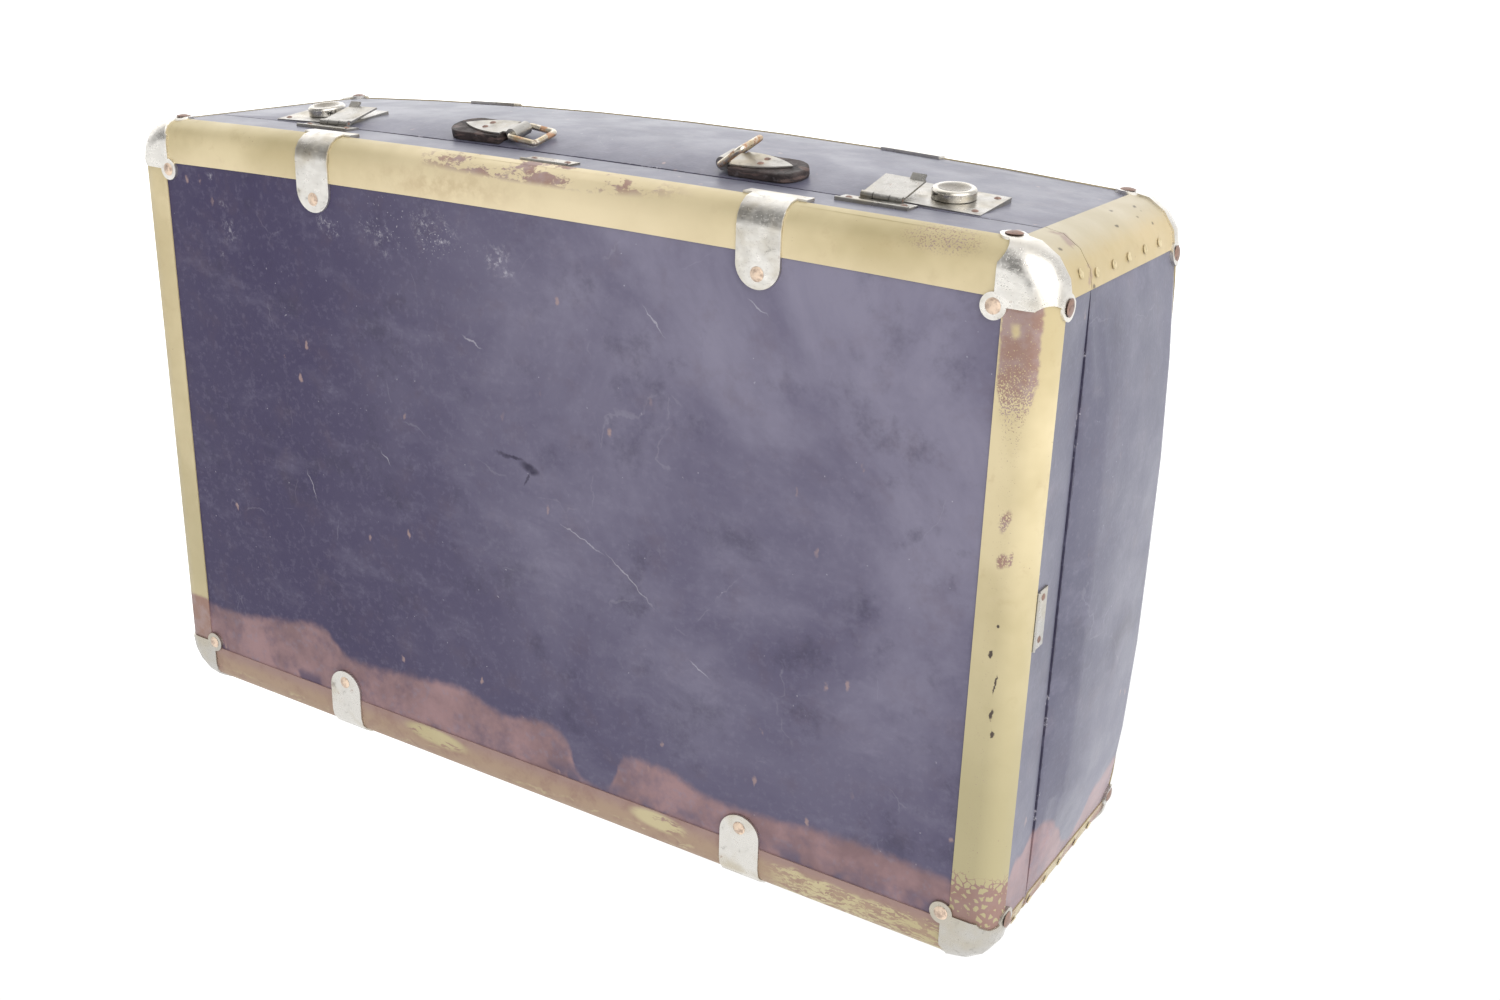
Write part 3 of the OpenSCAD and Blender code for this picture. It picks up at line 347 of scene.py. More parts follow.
def wornFibre(name, side):
    # side is "front", "wall" or "back": each carries its own marks
    look = fibreLook
    mat, tree, shader, place = startMaterial(name)
    loose = wander(tree, place, 38.0, 0.020)
    fine = wander(tree, place, 160.0, 0.006)
    mottle = noise(tree, place, 42.0, 5.0, 0.65)
    grain = noise(tree, place, 620.0, 2.0, 0.5)
    wipe = noise(tree, stretched(tree, loose, (1.0, 1.0, 2.6), (0, 0.45, 0)), 17.0, 6.0, 0.68)
    colour = groundFadeAndLight(tree, place, loose, wipe, mottle, side)
    colour = addFlecks(tree, place, loose, fine, colour)
    if side == "front":
        colour, band = markFront(tree, place, loose, fine, wipe, mottle, colour)
    else:
        colour, band = markWall(tree, place, loose, fine, mottle, colour, side)
    blotch = ramp(tree, noise(tree, loose, 26.0, 5.0, 0.6), 0.32, 0.70)
    worn = blendColour(tree, blotch, look["brown"], look["brownDark"])
    dust = ramp(tree, noise(tree, place, 180.0, 3.0), 0.55, 0.72, 0.0, 0.30)
    worn = blendColour(tree, dust, worn, look["faded"])
    rubbed = ramp(tree, noise(tree, place, 34.0, 6.0, 0.7), 0.30, 0.56, 0.52, 0.96)
    colour = blendColour(tree, both(tree, band, rubbed), colour, worn)
    feed(tree, shader.inputs["Base Color"], colour)
    gloss = ramp(tree, noise(tree, place, 30.0, 4.0, 0.6), 0.3, 0.7, *look["gloss"])
    feed(tree, shader.inputs["Roughness"], calc(tree, "ADD", gloss, both(tree, band, 0.12)))
    specular = look["frontSpecular" if side == "front" else "wallSpecular"]
    shader.inputs["Specular IOR Level"].default_value = specular
    shader.inputs["Sheen Weight"].default_value = 0.0 if side == "front" else look["wallSheen"]
    shader.inputs["Sheen Roughness"].default_value = look["sheenRough"]
    shader.inputs["Sheen Tint"].default_value = look["sheenTint"]
    raiseSurface(tree, shader, (
        (noise(tree, place, 13.0, 2.0), 0.005, 0.16),
        (mottle, 0.0012, 0.14),
        (grain, 0.0002, 0.30),
        (band, 0.0004, -0.35),
    ))
    return mat


bindingLook = {
    "gold": (0.505, 0.418, 0.235),
    "cream": (0.645, 0.546, 0.335),
    "pale": (0.730, 0.620, 0.410),
    "tan": (0.400, 0.285, 0.150),
    "olive": (0.375, 0.328, 0.185),
    "rubbed": (0.450, 0.425, 0.345),
    "rust": (0.285, 0.165, 0.140),
    "mauve": (0.330, 0.235, 0.235),
    "dusty": (0.350, 0.242, 0.176),
    "umber": (0.300, 0.192, 0.180),
    "brown": (0.250, 0.140, 0.125),
    "dirt": (0.060, 0.042, 0.032),
    "soil": 0.55, "rustSoil": 0.95, "metal": 0.22, "specular": 0.5, "gloss": (0.36, 0.50),
    # places on the top edge: centre and radii; the first is a painted highlight along the middle of the top
    # trim
    "bright": ((0.010, -0.100, 0.425), (0.240, 0.05, 0.040)),
    "run": ((0.010, -0.100, 0.440), (0.125, 0.03, 0.0085)),
    "stain": ((-0.06, -0.102, 0.425), (0.10, 0.03, 0.014)),
    "dots": ((0.284, -0.101, 0.436), (0.03, 0.03, 0.010)),
    # right edge: the rust's middle and half widths, and x, z, half width and half height of each spot
    "rustX": 0.3330, "rustHalf": (0.0050, 0.0105), "sideY": -0.1028, "markDeep": 0.03,
    "island": ((0.3285, -0.1028, 0.3945), (0.0042, 0.03, 0.006)),
    "spots": ((0.334, 0.290, 0.0035, 0.009), (0.3345, 0.267, 0.004, 0.006), (0.339, 0.269, 0.0016, 0.006)),
    "nicks": ((0.3357, 0.2286, 0.0009, 0.0016), (0.333, 0.211, 0.0012, 0.003),
              (0.337, 0.193, 0.0006, 0.008), (0.3365, 0.174, 0.0013, 0.004),
              (0.3376, 0.1617, 0.0012, 0.003)),
    "crackleTop": (0.069, 0.066), "leftRust": (0.073, 0.069),
    # bottom edge: gold left in two arcs and towards the right
    "lowY": -0.099, "arcs": ((-0.086, 0.024, 0.036, 0.008), (0.110, 0.0235, 0.028, 0.008)),
    "keptX": (0.185, 0.215), "keptZ": (0.0265, 0.0225),
    "seamY": -0.054,
}


def ovals(tree, place, y, marks, turn, core):
    deep = bindingLook["markDeep"]
    return most(tree, [patch(tree, place, (x, y, z), (w, deep, h), turn, core) for x, z, w, h in marks])


def flakeTop(tree, place, loose, height, mottle, grit, colour):
    look = bindingLook
    colour = blendColour(tree, ramp(tree, height, 0.427, 0.440, 0.0, 0.40), colour, look["olive"])
    colour = blendColour(tree, ramp(tree, height, 0.426, 0.408, 0.0, 0.50), colour, look["pale"])
    # painted highlight: the middle of the top trim made paler
    bright = patch(tree, loose, *look["bright"], 0.0, 0.2)
    colour = blendColour(tree, both(tree, bright, 0.8), colour, look["pale"])
    stain = patch(tree, loose, *look["stain"], 0.0, 0.0)
    stain = both(tree, stain, ramp(tree, mottle, 0.35, 0.65, 0.0, 0.5))
    colour = blendColour(tree, stain, colour, look["tan"])
    torn = noise(tree, stretched(tree, loose, (0.7, 1.0, 1.6)), 40.0, 6.0, 0.72)
    run = both(tree, patch(tree, place, *look["run"], 0.0, 0.5), ramp(tree, torn, 0.48, 0.53))
    dots = both(tree, patch(tree, place, *look["dots"], 0.0, 0.3), ramp(tree, grit, 0.52, 0.60))
    return colour, most(tree, [run, dots])


def rustRight(tree, place, loose, fine, height, grit, colour):
    look = bindingLook
    # solid under the cap, breaking up into grains further down
    off = calc(tree, "ABSOLUTE", calc(tree, "SUBTRACT", axisOf(tree, fine, "X"), look["rustX"]))
    half = ramp(tree, height, 0.335, 0.372, *look["rustHalf"])
    inside = ramp(tree, calc(tree, "SUBTRACT", off, half), 0.0012, -0.0008)
    limit = ramp(tree, height, 0.322, 0.388, 0.70, 0.30)
    grains = calc(tree, "SUBTRACT", noise(tree, place, 1300.0, 2.0, 0.5), limit)
    island = patch(tree, loose, *look["island"], 0.3, 0.2)
    top = both(tree, inside, ramp(tree, grains, -0.02, 0.05))
    top = both(tree, top, calc(tree, "SUBTRACT", 1.0, island))
    spots = ovals(tree, fine, look["sideY"], look["spots"], 0.25, 0.5)
    spots = both(tree, spots, ramp(tree, grit, 0.42, 0.50))
    nicks = ovals(tree, fine, look["sideY"], look["nicks"], 0.12, 0.6)
    colour = blendColour(tree, nicks, colour, look["dirt"])
    # crackle above the lower cap, closing up downwards
    web = cells(tree, fine, 215.0, "DISTANCE_TO_EDGE")
    spread = ramp(tree, height, 0.070, 0.048, 0.0, 0.24)
    crackle = ramp(tree, calc(tree, "SUBTRACT", web, spread), 0.02, -0.02)
    low = both(tree, ramp(tree, axisOf(tree, loose, "Z"), *look["crackleTop"]), crackle)
    return colour, most(tree, [top, spots, low])


def wearBottom(tree, place, loose, fine, height, mottle):
    look = bindingLook
    stripes = noise(tree, stretched(tree, loose, (0.35, 1.0, 3.0), (0, 0.06, 0)), 90.0, 3.0)
    stripes = ramp(tree, stripes, 0.56, 0.62)
    arcs = ovals(tree, place, look["lowY"], look["arcs"], 0.06, 0.55)
    arcs = both(tree, arcs, calc(tree, "SUBTRACT", 1.0, stripes))
    worms = noise(tree, stretched(tree, fine, (0.4, 1.0, 2.2), (0, 0.1, 0)), 210.0, 3.0, 0.6, 1.0)
    right = both(tree, ramp(tree, axisOf(tree, loose, "X"), *look["keptX"]),
                 ramp(tree, axisOf(tree, loose, "Z"), *look["keptZ"]))
    right = both(tree, right, ramp(tree, worms, 0.47, 0.53))
    rubbed = ramp(tree, noise(tree, loose, 48.0, 5.0, 0.7), 0.44, 0.60, 0.0, 0.8)
    rubbed = both(tree, ramp(tree, height, 0.0185, 0.0125), rubbed)
    kept = most(tree, [arcs, right, both(tree, both(tree, rubbed, stripes), 0.8)])
    bareColour = blendColour(tree, ramp(tree, height, 0.030, 0.019), look["umber"], look["dusty"])
    bareColour = blendColour(tree, ramp(tree, mottle, 0.45, 0.70, 0.0, 0.6), bareColour, look["brown"])
    return calc(tree, "SUBTRACT", 1.0, kept), bareColour


def wearBands(tree, place, loose, fine, height, cloud, mottle, colour):
    # the lower ends of the depth bands are rubbed through, the tops are dented
    look = bindingLook
    colour = blendColour(tree, ramp(tree, cloud, 0.30, 0.70, 0.10, 0.40), colour, look["tan"])
    rubbed = ramp(tree, noise(tree, loose, 55.0, 4.0, 0.7), 0.46, 0.54)
    low = both(tree, ramp(tree, height, 0.040, 0.020), rubbed)
    off = calc(tree, "ABSOLUTE", calc(tree, "ADD", axisOf(tree, loose, "Y"), -look["seamY"]))
    seam = both(tree, ramp(tree, off, 0.006, 0.001, 0.0, 0.7), ramp(tree, mottle, 0.45, 0.6))
    dents = ramp(tree, cells(tree, stretched(tree, fine, (1.0, 0.6, 1.0)), 105.0), 0.17, 0.07)
    dents = both(tree, dents, ramp(tree, noise(tree, place, 26.0, 2.0), 0.45, 0.55))
    colour = blendColour(tree, ramp(tree, height, 0.424, 0.438, 0.0, 0.6), colour, look["rubbed"])
    colour = blendColour(tree, both(tree, dents, 0.75), colour, look["dirt"])
    return colour, most(tree, [low, seam])


def goldBinding(name, wear="even"):
    # wear is "even", "flakes", "rust", "left", "bottom" or "bands"
    look = bindingLook
    mat, tree, shader, place = startMaterial(name)
    loose = wander(tree, place, 60.0, 0.014)
    fine = wander(tree, place, 260.0, 0.004)
    height = axisOf(tree, fine, "Z")
    cloud = noise(tree, place, 11.0, 4.0, 0.6)
    mottle = noise(tree, place, 75.0, 4.0, 0.65)
    grit = noise(tree, place, 950.0, 3.0, 0.6)
    colour = blendColour(tree, ramp(tree, cloud, 0.36, 0.64), look["gold"], look["cream"])
    colour = blendColour(tree, ramp(tree, mottle, 0.54, 0.78, 0.0, 0.32), colour, look["tan"])
    # more olive towards the bottom: soil, with painted shade low down that is strongest on the right trim
    soil = look["rustSoil" if wear == "rust" else "soil"]
    soil = ramp(tree, axisOf(tree, loose, "Z"), 0.36, 0.08, 0.0, soil)
    colour = blendColour(tree, soil, colour, look["olive"])
    pits = ramp(tree, cells(tree, fine, 240.0), 0.12, 0.05)
    pits = both(tree, pits, ramp(tree, noise(tree, place, 40.0, 2.0), 0.54, 0.68))
    colour = blendColour(tree, both(tree, pits, 0.65), colour, look["brown"])
    bare = None
    bareColour = blendColour(tree, ramp(tree, mottle, 0.35, 0.65), look["rust"], look["mauve"])
    if wear == "flakes":
        colour, bare = flakeTop(tree, place, loose, height, mottle, grit, colour)
    elif wear == "rust":
        colour, bare = rustRight(tree, place, loose, fine, height, grit, colour)
        bareColour = blendColour(tree, ramp(tree, height, 0.120, 0.080, 0.0, 0.75), bareColour, look["brown"])
    elif wear == "left":
        bare = ramp(tree, axisOf(tree, loose, "Z"), *look["leftRust"])
    elif wear == "bottom":
        bare, bareColour = wearBottom(tree, place, loose, fine, height, mottle)
    elif wear == "bands":
        colour, bare = wearBands(tree, place, loose, fine, height, cloud, mottle, colour)
    gloss = ramp(tree, noise(tree, place, 36.0, 4.0, 0.6), 0.3, 0.7, *look["gloss"])
    heights = [(noise(tree, place, 24.0, 2.0), 0.0025, 0.18), (mottle, 0.0005, 0.22), (pits, 0.0004, -0.5)]
    if bare is not None:
        colour = blendColour(tree, both(tree, bare, 0.92), colour, bareColour)
        gloss = calc(tree, "ADD", gloss, both(tree, bare, 0.2))
        heights.append((bare, 0.0003, -0.6))
    feed(tree, shader.inputs["Base Color"], colour)
    feed(tree, shader.inputs["Roughness"], gloss)
    shader.inputs["Metallic"].default_value = look["metal"]
    shader.inputs["Specular IOR Level"].default_value = look["specular"]
    raiseSurface(tree, shader, heights)
    return mat


def markOf(tree):
    # darkening marked on the piece's own points: dirt in the nails' pressed ring, painted shade in the knob's
    # dished top
    mark = tree.nodes.new("ShaderNodeAttribute")
    mark.attribute_name = "groove"
    return mark.outputs["Fac"]


def nailGold(name):
    look = bindingLook
    mat, tree, shader, place = startMaterial(name)
    worn = noise(tree, place, 260.0, 4.0, 0.65)
    colour = blendColour(tree, ramp(tree, worn, 0.38, 0.62), look["cream"], look["gold"])
    colour = blendColour(tree, ramp(tree, worn, 0.58, 0.70, 0.0, 0.6), colour, look["brown"])
    colour = blendColour(tree, both(tree, markOf(tree), 0.85), colour, look["dirt"])
    feed(tree, shader.inputs["Base Color"], colour)
    shader.inputs["Metallic"].default_value = 0.35
    feed(tree, shader.inputs["Roughness"], ramp(tree, worn, 0.3, 0.7, 0.32, 0.5))
    raiseSurface(tree, shader, ((worn, 0.0002, 0.4),))
    return mat


nickelLook = {
    "plate": (1.0, 0.972, 0.912),
    "stain": (0.450, 0.385, 0.260),
    "dark": (0.150, 0.135, 0.115),
    "rust": (0.230, 0.095, 0.040),
    # tone of the plating, stain, pitting, rust, and the smoothest polish
    "kinds": {
        "nickelCap": (0.78, 0.32, 0.60, 0.22, 0.21),
        "nickelTop": (0.74, 0.55, 0.50, 0.30, 0.26),
        # the caps at the foot: a darker copy of the cap plating, painted shade
        "nickelLow": (0.50, 0.45, 0.60, 0.30, 0.20),
        "nickelClip": (0.66, 0.60, 0.28, 0.40, 0.18),
        "nickelKnob": (0.62, 0.40, 0.45, 0.30, 0.10),
        "nickelLock": (0.43, 0.45, 0.45, 0.35, 0.22),
        "nickelCover": (0.46, 0.62, 0.75, 0.45, 0.32),
        "nickelHinge": (0.58, 0.70, 0.70, 0.75, 0.30),
    },
}


def dullNickel(name, dished=False):
    look = nickelLook
    tone, stain, pitting, rust, polish = look["kinds"][name]
    plate = tuple(tone * part for part in look["plate"])
    mat, tree, shader, place = startMaterial(name)
    loose = wander(tree, place, 130.0, 0.005)
    fine = wander(tree, place, 420.0, 0.002)
    mottle = noise(tree, loose, 95.0, 5.0, 0.65)
    cloud = noise(tree, place, 34.0, 3.0, 0.55)
    colour = blendColour(tree, ramp(tree, cloud, 0.42, 0.68, 0.0, stain), plate, look["stain"])
    colour = blendColour(tree, ramp(tree, mottle, 0.60, 0.74, 0.0, 0.55), colour, look["dark"])
    pits = ramp(tree, cells(tree, fine, 520.0), 0.22, 0.08)
    pits = both(tree, pits, ramp(tree, noise(tree, place, 120.0, 2.0), 0.48, 0.62))
    colour = blendColour(tree, both(tree, pits, pitting), colour, look["dark"])
    spots = both(tree, ramp(tree, noise(tree, loose, 150.0, 4.0, 0.7), 0.66, 0.70), rust)
    colour = blendColour(tree, spots, colour, look["rust"])
    if dished:
        # painted shade in the knob's dished top
        colour = blendColour(tree, markOf(tree), colour, look["dark"])
    feed(tree, shader.inputs["Base Color"], colour)
    feed(tree, shader.inputs["Metallic"], ramp(tree, spots, 0.0, 1.0, 1.0, 0.2))
    rubbed = noise(tree, stretched(tree, place, (1.0, 1.0, 5.0), (0.4, 0.5, 0.2)), 150.0, 3.0)
    gloss = ramp(tree, mottle, 0.35, 0.7, polish, polish + 0.20)
    feed(tree, shader.inputs["Roughness"], calc(tree, "ADD", gloss, ramp(tree, rubbed, 0.4, 0.7, 0.0, 0.10)))
    raiseSurface(tree, shader, (
        (noise(tree, place, 75.0, 2.0), 0.0014, 0.30),
        (mottle, 0.0003, 0.28),
        (pits, 0.00035, -0.6),
        (ramp(tree, cells(tree, fine, 760.0), 0.10, 0.30), 0.0003, 0.35),
    ))
    return mat


rustLook = {
    "brown": (0.215, 0.135, 0.108),
    "orange": (0.290, 0.178, 0.135),
    "dark": (0.050, 0.030, 0.024),
    "pale": (0.760, 0.600, 0.460),
    "frontY": (-0.0995, -0.1015), "metal": 0.25,
}


def rustyRivet(name):
    look = rustLook
    mat, tree, shader, place = startMaterial(name)
    mottle = noise(tree, place, 190.0, 4.0, 0.65)
    specks = ramp(tree, noise(tree, place, 420.0, 2.0), 0.58, 0.7, 0.0, 0.6)
    colour = blendColour(tree, ramp(tree, mottle, 0.40, 0.66), look["brown"], look["orange"])
    colour = blendColour(tree, specks, colour, look["dark"])
    # the heads on the front face have kept more of their plating
    front = ramp(tree, axisOf(tree, place, "Y"), *look["frontY"])
    kept = both(tree, front, ramp(tree, mottle, 0.36, 0.56, 0.35, 0.95))
    colour = blendColour(tree, kept, colour, look["pale"])
    feed(tree, shader.inputs["Base Color"], colour)
    shader.inputs["Metallic"].default_value = look["metal"]
    feed(tree, shader.inputs["Roughness"], ramp(tree, mottle, 0.3, 0.7, 0.34, 0.58))
    raiseSurface(tree, shader, ((mottle, 0.0004, 0.45),))
    return mat


brassLook = {
    "brass": (0.560, 0.430, 0.250),
    "pale": (0.690, 0.640, 0.540),
    "rust": (0.400, 0.175, 0.065),
    "dark": (0.06, 0.045, 0.035),
}


def rustyBrass(name):
    look = brassLook
    mat, tree, shader, place = startMaterial(name)
    mottle = noise(tree, place, 130.0, 4.0, 0.65)
    cloud = noise(tree, place, 48.0, 3.0)
    colour = blendColour(tree, ramp(tree, cloud, 0.38, 0.62), look["brass"], look["pale"])
    rust = ramp(tree, mottle, 0.48, 0.57)
    colour = blendColour(tree, both(tree, rust, 0.8), colour, look["rust"])
    specks = ramp(tree, noise(tree, place, 260.0, 3.0), 0.60, 0.70, 0.0, 0.7)
    colour = blendColour(tree, specks, colour, look["dark"])
    feed(tree, shader.inputs["Base Color"], colour)
    feed(tree, shader.inputs["Metallic"], ramp(tree, rust, 0.0, 1.0, 0.95, 0.35))
    feed(tree, shader.inputs["Roughness"], ramp(tree, mottle, 0.35, 0.7, 0.26, 0.56))
    raiseSurface(tree, shader, ((mottle, 0.0004, 0.35), (noise(tree, place, 420.0, 2.0), 0.0002, 0.3)))
    return mat


leatherLook = {
    "hide": (0.054, 0.040, 0.038),
    "worn": (0.140, 0.096, 0.084),
    "dry": (0.150, 0.135, 0.140),
    "black": (0.016, 0.012, 0.012),
}


def darkLeather(name):
    look = leatherLook
    mat, tree, shader, place = startMaterial(name)
    loose = wander(tree, place, 150.0, 0.003)
    mottle = noise(tree, loose, 130.0, 4.0, 0.65)
    shade = ramp(tree, noise(tree, place, 60.0, 4.0), 0.40, 0.66)
    colour = blendColour(tree, shade, look["hide"], look["black"])
    layers = noise(tree, stretched(tree, loose, (1.0, 1.0, 7.0)), 75.0, 4.0, 0.6)
    colour = blendColour(tree, ramp(tree, layers, 0.52, 0.66, 0.0, 0.75), colour, look["worn"])
    colour = blendColour(tree, ramp(tree, mottle, 0.60, 0.72, 0.0, 0.6), colour, look["dry"])
    feed(tree, shader.inputs["Base Color"], colour)
    feed(tree, shader.inputs["Roughness"], ramp(tree, mottle, 0.3, 0.7, 0.48, 0.72))
    shader.inputs["Specular IOR Level"].default_value = 0.38
    pores = cells(tree, place, 900.0)
    creases = ramp(tree, cells(tree, loose, 210.0, "DISTANCE_TO_EDGE"), 0.0, 0.12)
    raiseSurface(tree, shader, ((layers, 0.0006, 0.5), (creases, 0.0003, 0.4), (pores, 0.00015, 0.4)))
    return mat


paperLook = {
    "cream": (0.560, 0.460, 0.320),
    "tan": (0.430, 0.330, 0.215),
    "stain": (0.250, 0.165, 0.095),
    "line": (0.230, 0.190, 0.150),
    "lines": 1250.0,  # turn of the printed lines, per metre
}


def agedPaper(name):
    look = paperLook
    mat, tree, shader, place = startMaterial(name)
    cloud = noise(tree, place, 10.0, 5.0, 0.6)
    colour = blendColour(tree, ramp(tree, cloud, 0.35, 0.68), look["cream"], look["tan"])
    stains = ramp(tree, noise(tree, wander(tree, place, 20.0, 0.05), 7.0, 4.0, 0.6), 0.60, 0.66)
    colour = blendColour(tree, both(tree, stains, 0.35), colour, look["stain"])
    # faint woven lines printed on the paper
    lines = []
    for axis in ("X", "Y", "Z"):
        wave = calc(tree, "SINE", both(tree, axisOf(tree, place, axis), look["lines"]))
        lines.append(ramp(tree, wave, 0.55, 0.85))
    colour = blendColour(tree, both(tree, most(tree, lines), 0.16), colour, look["line"])
    feed(tree, shader.inputs["Base Color"], colour)
    feed(tree, shader.inputs["Roughness"], ramp(tree, cloud, 0.3, 0.7, 0.72, 0.88))
    raiseSurface(tree, shader, (
        (noise(tree, place, 520.0, 3.0), 0.0002, 0.35),
        (noise(tree, place, 16.0, 3.0), 0.003, 0.15),
    ))
    return mat


woodLook = {"pale": (0.400, 0.255, 0.135), "brown": (0.250, 0.145, 0.070), "streak": (0.130, 0.072, 0.036)}


def rimWood(name):
    look = woodLook
    mat, tree, shader, place = startMaterial(name)
    grain = noise(tree, stretched(tree, place, (1.0, 7.0, 1.0)), 42.0, 5.0, 0.62, 0.6)
    streaks = noise(tree, stretched(tree, place, (1.0, 22.0, 1.0)), 60.0, 3.0)
    colour = blendColour(tree, ramp(tree, grain, 0.35, 0.66), look["pale"], look["brown"])
    colour = blendColour(tree, ramp(tree, streaks, 0.55, 0.70, 0.0, 0.6), colour, look["streak"])
    feed(tree, shader.inputs["Base Color"], colour)
    feed(tree, shader.inputs["Roughness"], ramp(tree, grain, 0.3, 0.7, 0.50, 0.68))
    raiseSurface(tree, shader, ((streaks, 0.0003, 0.4),))
    return mat


finishes = {
    "fibreFront": wornFibre("fibreFront", "front"),
    "fibreWall": wornFibre("fibreWall", "wall"),
    "fibreBack": wornFibre("fibreBack", "back"),
    "bindingPlain": goldBinding("bindingPlain"),
    "bindingTop": goldBinding("bindingTop", "flakes"),
    "bindingRight": goldBinding("bindingRight", "rust"),
    "bindingLeft": goldBinding("bindingLeft", "left"),
    "bindingBottom": goldBinding("bindingBottom", "bottom"),
    "bindingDepth": goldBinding("bindingDepth", "bands"),
    "nailGold": nailGold("nailGold"),
    "rivetRust": rustyRivet("rivetRust"),
    "loopBrass": rustyBrass("loopBrass"),
    "padLeather": darkLeather("padLeather"),
    "liningPaper": agedPaper("liningPaper"),
    "rimWood": rimWood("rimWood"),
}
for kind in nickelLook["kinds"]:
    finishes[kind] = dullNickel(kind, kind == "nickelKnob")
print("finishes made:", len(finishes))

# a node's finish: its own, or that of its material slot
ownFinish = {
    "lid_front_panel": "fibreFront", "base_back_panel": "fibreBack",
    "lid_trim_top": "bindingTop", "lid_trim_right": "bindingRight", "lid_trim_left": "bindingLeft",
    "lid_trim_bottom": "bindingBottom", "base_trim_bottom": "bindingBottom",
    "lid_corner_bands": "bindingDepth", "base_corner_bands": "bindingDepth",
}
slotFinish = {
    "fibre": "fibreWall", "gold_binding": "bindingPlain", "nickel": "nickelLock", "rusted_steel": "rivetRust",
    "pad_leather": "padLeather", "paper": "liningPaper", "rim_wood": "rimWood",
}


def finishOf(nodeName):
    slot = slotOfNode[nodeName]
    if nodeName in ownFinish:
        return ownFinish[nodeName]
    if slot == "nickel":
        for word in ("cover", "hinge", "knob"):
            if word in nodeName:
                return "nickel" + word.capitalize()
        low = "bottom" in nodeName
        if "clip" in nodeName:
            return "nickelClip" if low else "nickelTop"
        # the caps at the foot get the darker plating, painted shade
        if "cap" in nodeName:
            return "nickelLow" if low else "nickelCap"
    if slot == "rusted_steel" and "loop" in nodeName:
        return "loopBrass"
    return slotFinish[slot]


def paint(piece, finish):
    piece.data.materials.clear()
    piece.data.materials.append(finishes[finish])


def pick(piece):
    bpy.ops.object.select_all(action="DESELECT")
    piece.select_set(True)
    bpy.context.view_layer.objects.active = piece


def applyAll(piece):
    pick(piece)
    for modifier in list(piece.modifiers):
        bpy.ops.object.modifier_apply(modifier=modifier.name)


# the faceted solids get smooth copies with rounded sheet edges
smoothLook = {
    "merge": 0.00002, "flat": 0.35, "angle": 33, "evenWeight": 60,
    "edgeAngle": 50, "capBevel": 0.00035, "plateBevel": 0.00022,
    "dish": 0.0095, "dishDeep": 0.0014, "dishDirt": 0.75,
    "plain": ("wall_band", "lining", "base_rim", "corner_bands"),
    "plates": ("hasp_left", "hasp_right", "hasp_plate", "lock_plate", "handle_cover", "lock_knob"),
    "remade": ("handle_pad_left", "handle_pad_right", "lid_rivets", "base_rivets"),
}


def copyNode(nodeName, name=None, flat=None):
    pick(frame["nodes"][nodeName])
    bpy.ops.object.duplicate()
    piece = bpy.context.active_object
    words = nodeName.split("_")
    piece.name = piece.data.name = name or words[0] + "".join(word.capitalize() for word in words[1:])
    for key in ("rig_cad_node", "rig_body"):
        if key in piece:
            del piece[key]
    piece.parent = None
    bpy.ops.object.mode_set(mode="EDIT")
    bpy.ops.mesh.select_all(action="SELECT")
    bpy.ops.mesh.remove_doubles(threshold=smoothLook["merge"])
    bpy.ops.mesh.customdata_custom_splitnormals_clear()
    bpy.ops.mesh.dissolve_limited(angle_limit=math.radians(flat or smoothLook["flat"]))
    bpy.ops.object.mode_set(mode="OBJECT")
    return piece


def roundEdges(piece, width, segments):
    edge = piece.modifiers.new("sheetEdge", "BEVEL")
    edge.width = width
    edge.segments = segments
    edge.limit_method = "ANGLE"
    edge.angle_limit = math.radians(smoothLook["edgeAngle"])
    edge.use_clamp_overlap = True
    applyAll(piece)


def finishCopy(piece, nodeName):
    paint(piece, finishOf(nodeName))
    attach(piece, bodyOfNode[nodeName])
    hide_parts(nodeName)


def smoothCopy(nodeName, bevel=0.0):
    piece = copyNode(nodeName)
    if bevel:
        roundEdges(piece, bevel, 2)
    pick(piece)
    bpy.ops.object.shade_smooth_by_angle(angle=math.radians(smoothLook["angle"]))
    even = piece.modifiers.new("evenShade", "WEIGHTED_NORMAL")
    even.keep_sharp = True
    even.weight = smoothLook["evenWeight"]
    applyAll(piece)
    finishCopy(piece, nodeName)
    return piece


def markDish(piece):
    # painted shade in the dished top, darkest where it is deepest
    corners = [Vector(c) for c in piece.bound_box]
    middle = sum(corners, Vector()) / 8
    top = max(c.z for c in corners)
    groove = piece.data.attributes.new("groove", "FLOAT", "POINT")
    for vertex, mark in zip(piece.data.vertices, groove.data):
        out = (vertex.co - middle).xy.length
        inDish = out < smoothLook["dish"] and vertex.co.z > middle.z
        depth = min(1.0, (top - vertex.co.z) / smoothLook["dishDeep"])
        mark.value = smoothLook["dishDirt"] * depth if inDish else 0.0


for nodeName in frame["nodes"]:
    if "corner_cap" in nodeName or "edge_clip" in nodeName:
        smoothCopy(nodeName, smoothLook["capBevel"])
    elif nodeName.endswith(smoothLook["plain"]) or "_trim_" in nodeName:
        smoothCopy(nodeName)
    elif nodeName.startswith(smoothLook["plates"]):
        piece = smoothCopy(nodeName, smoothLook["plateBevel"])
        if "knob" in nodeName:
            markDish(piece)
    elif nodeName not in smoothLook["remade"]:
        paint(frame["nodes"][nodeName], finishOf(nodeName))


# rivets: the heads are a little wider than their solids, flat and spread by the hammer
rivetLook = {
    "small": 0.0055, "angle": 40,
    "panelSpread": 1.24, "panelFlat": 0.85, "wallSpread": 1.42, "wallFlat": 0.75,
}


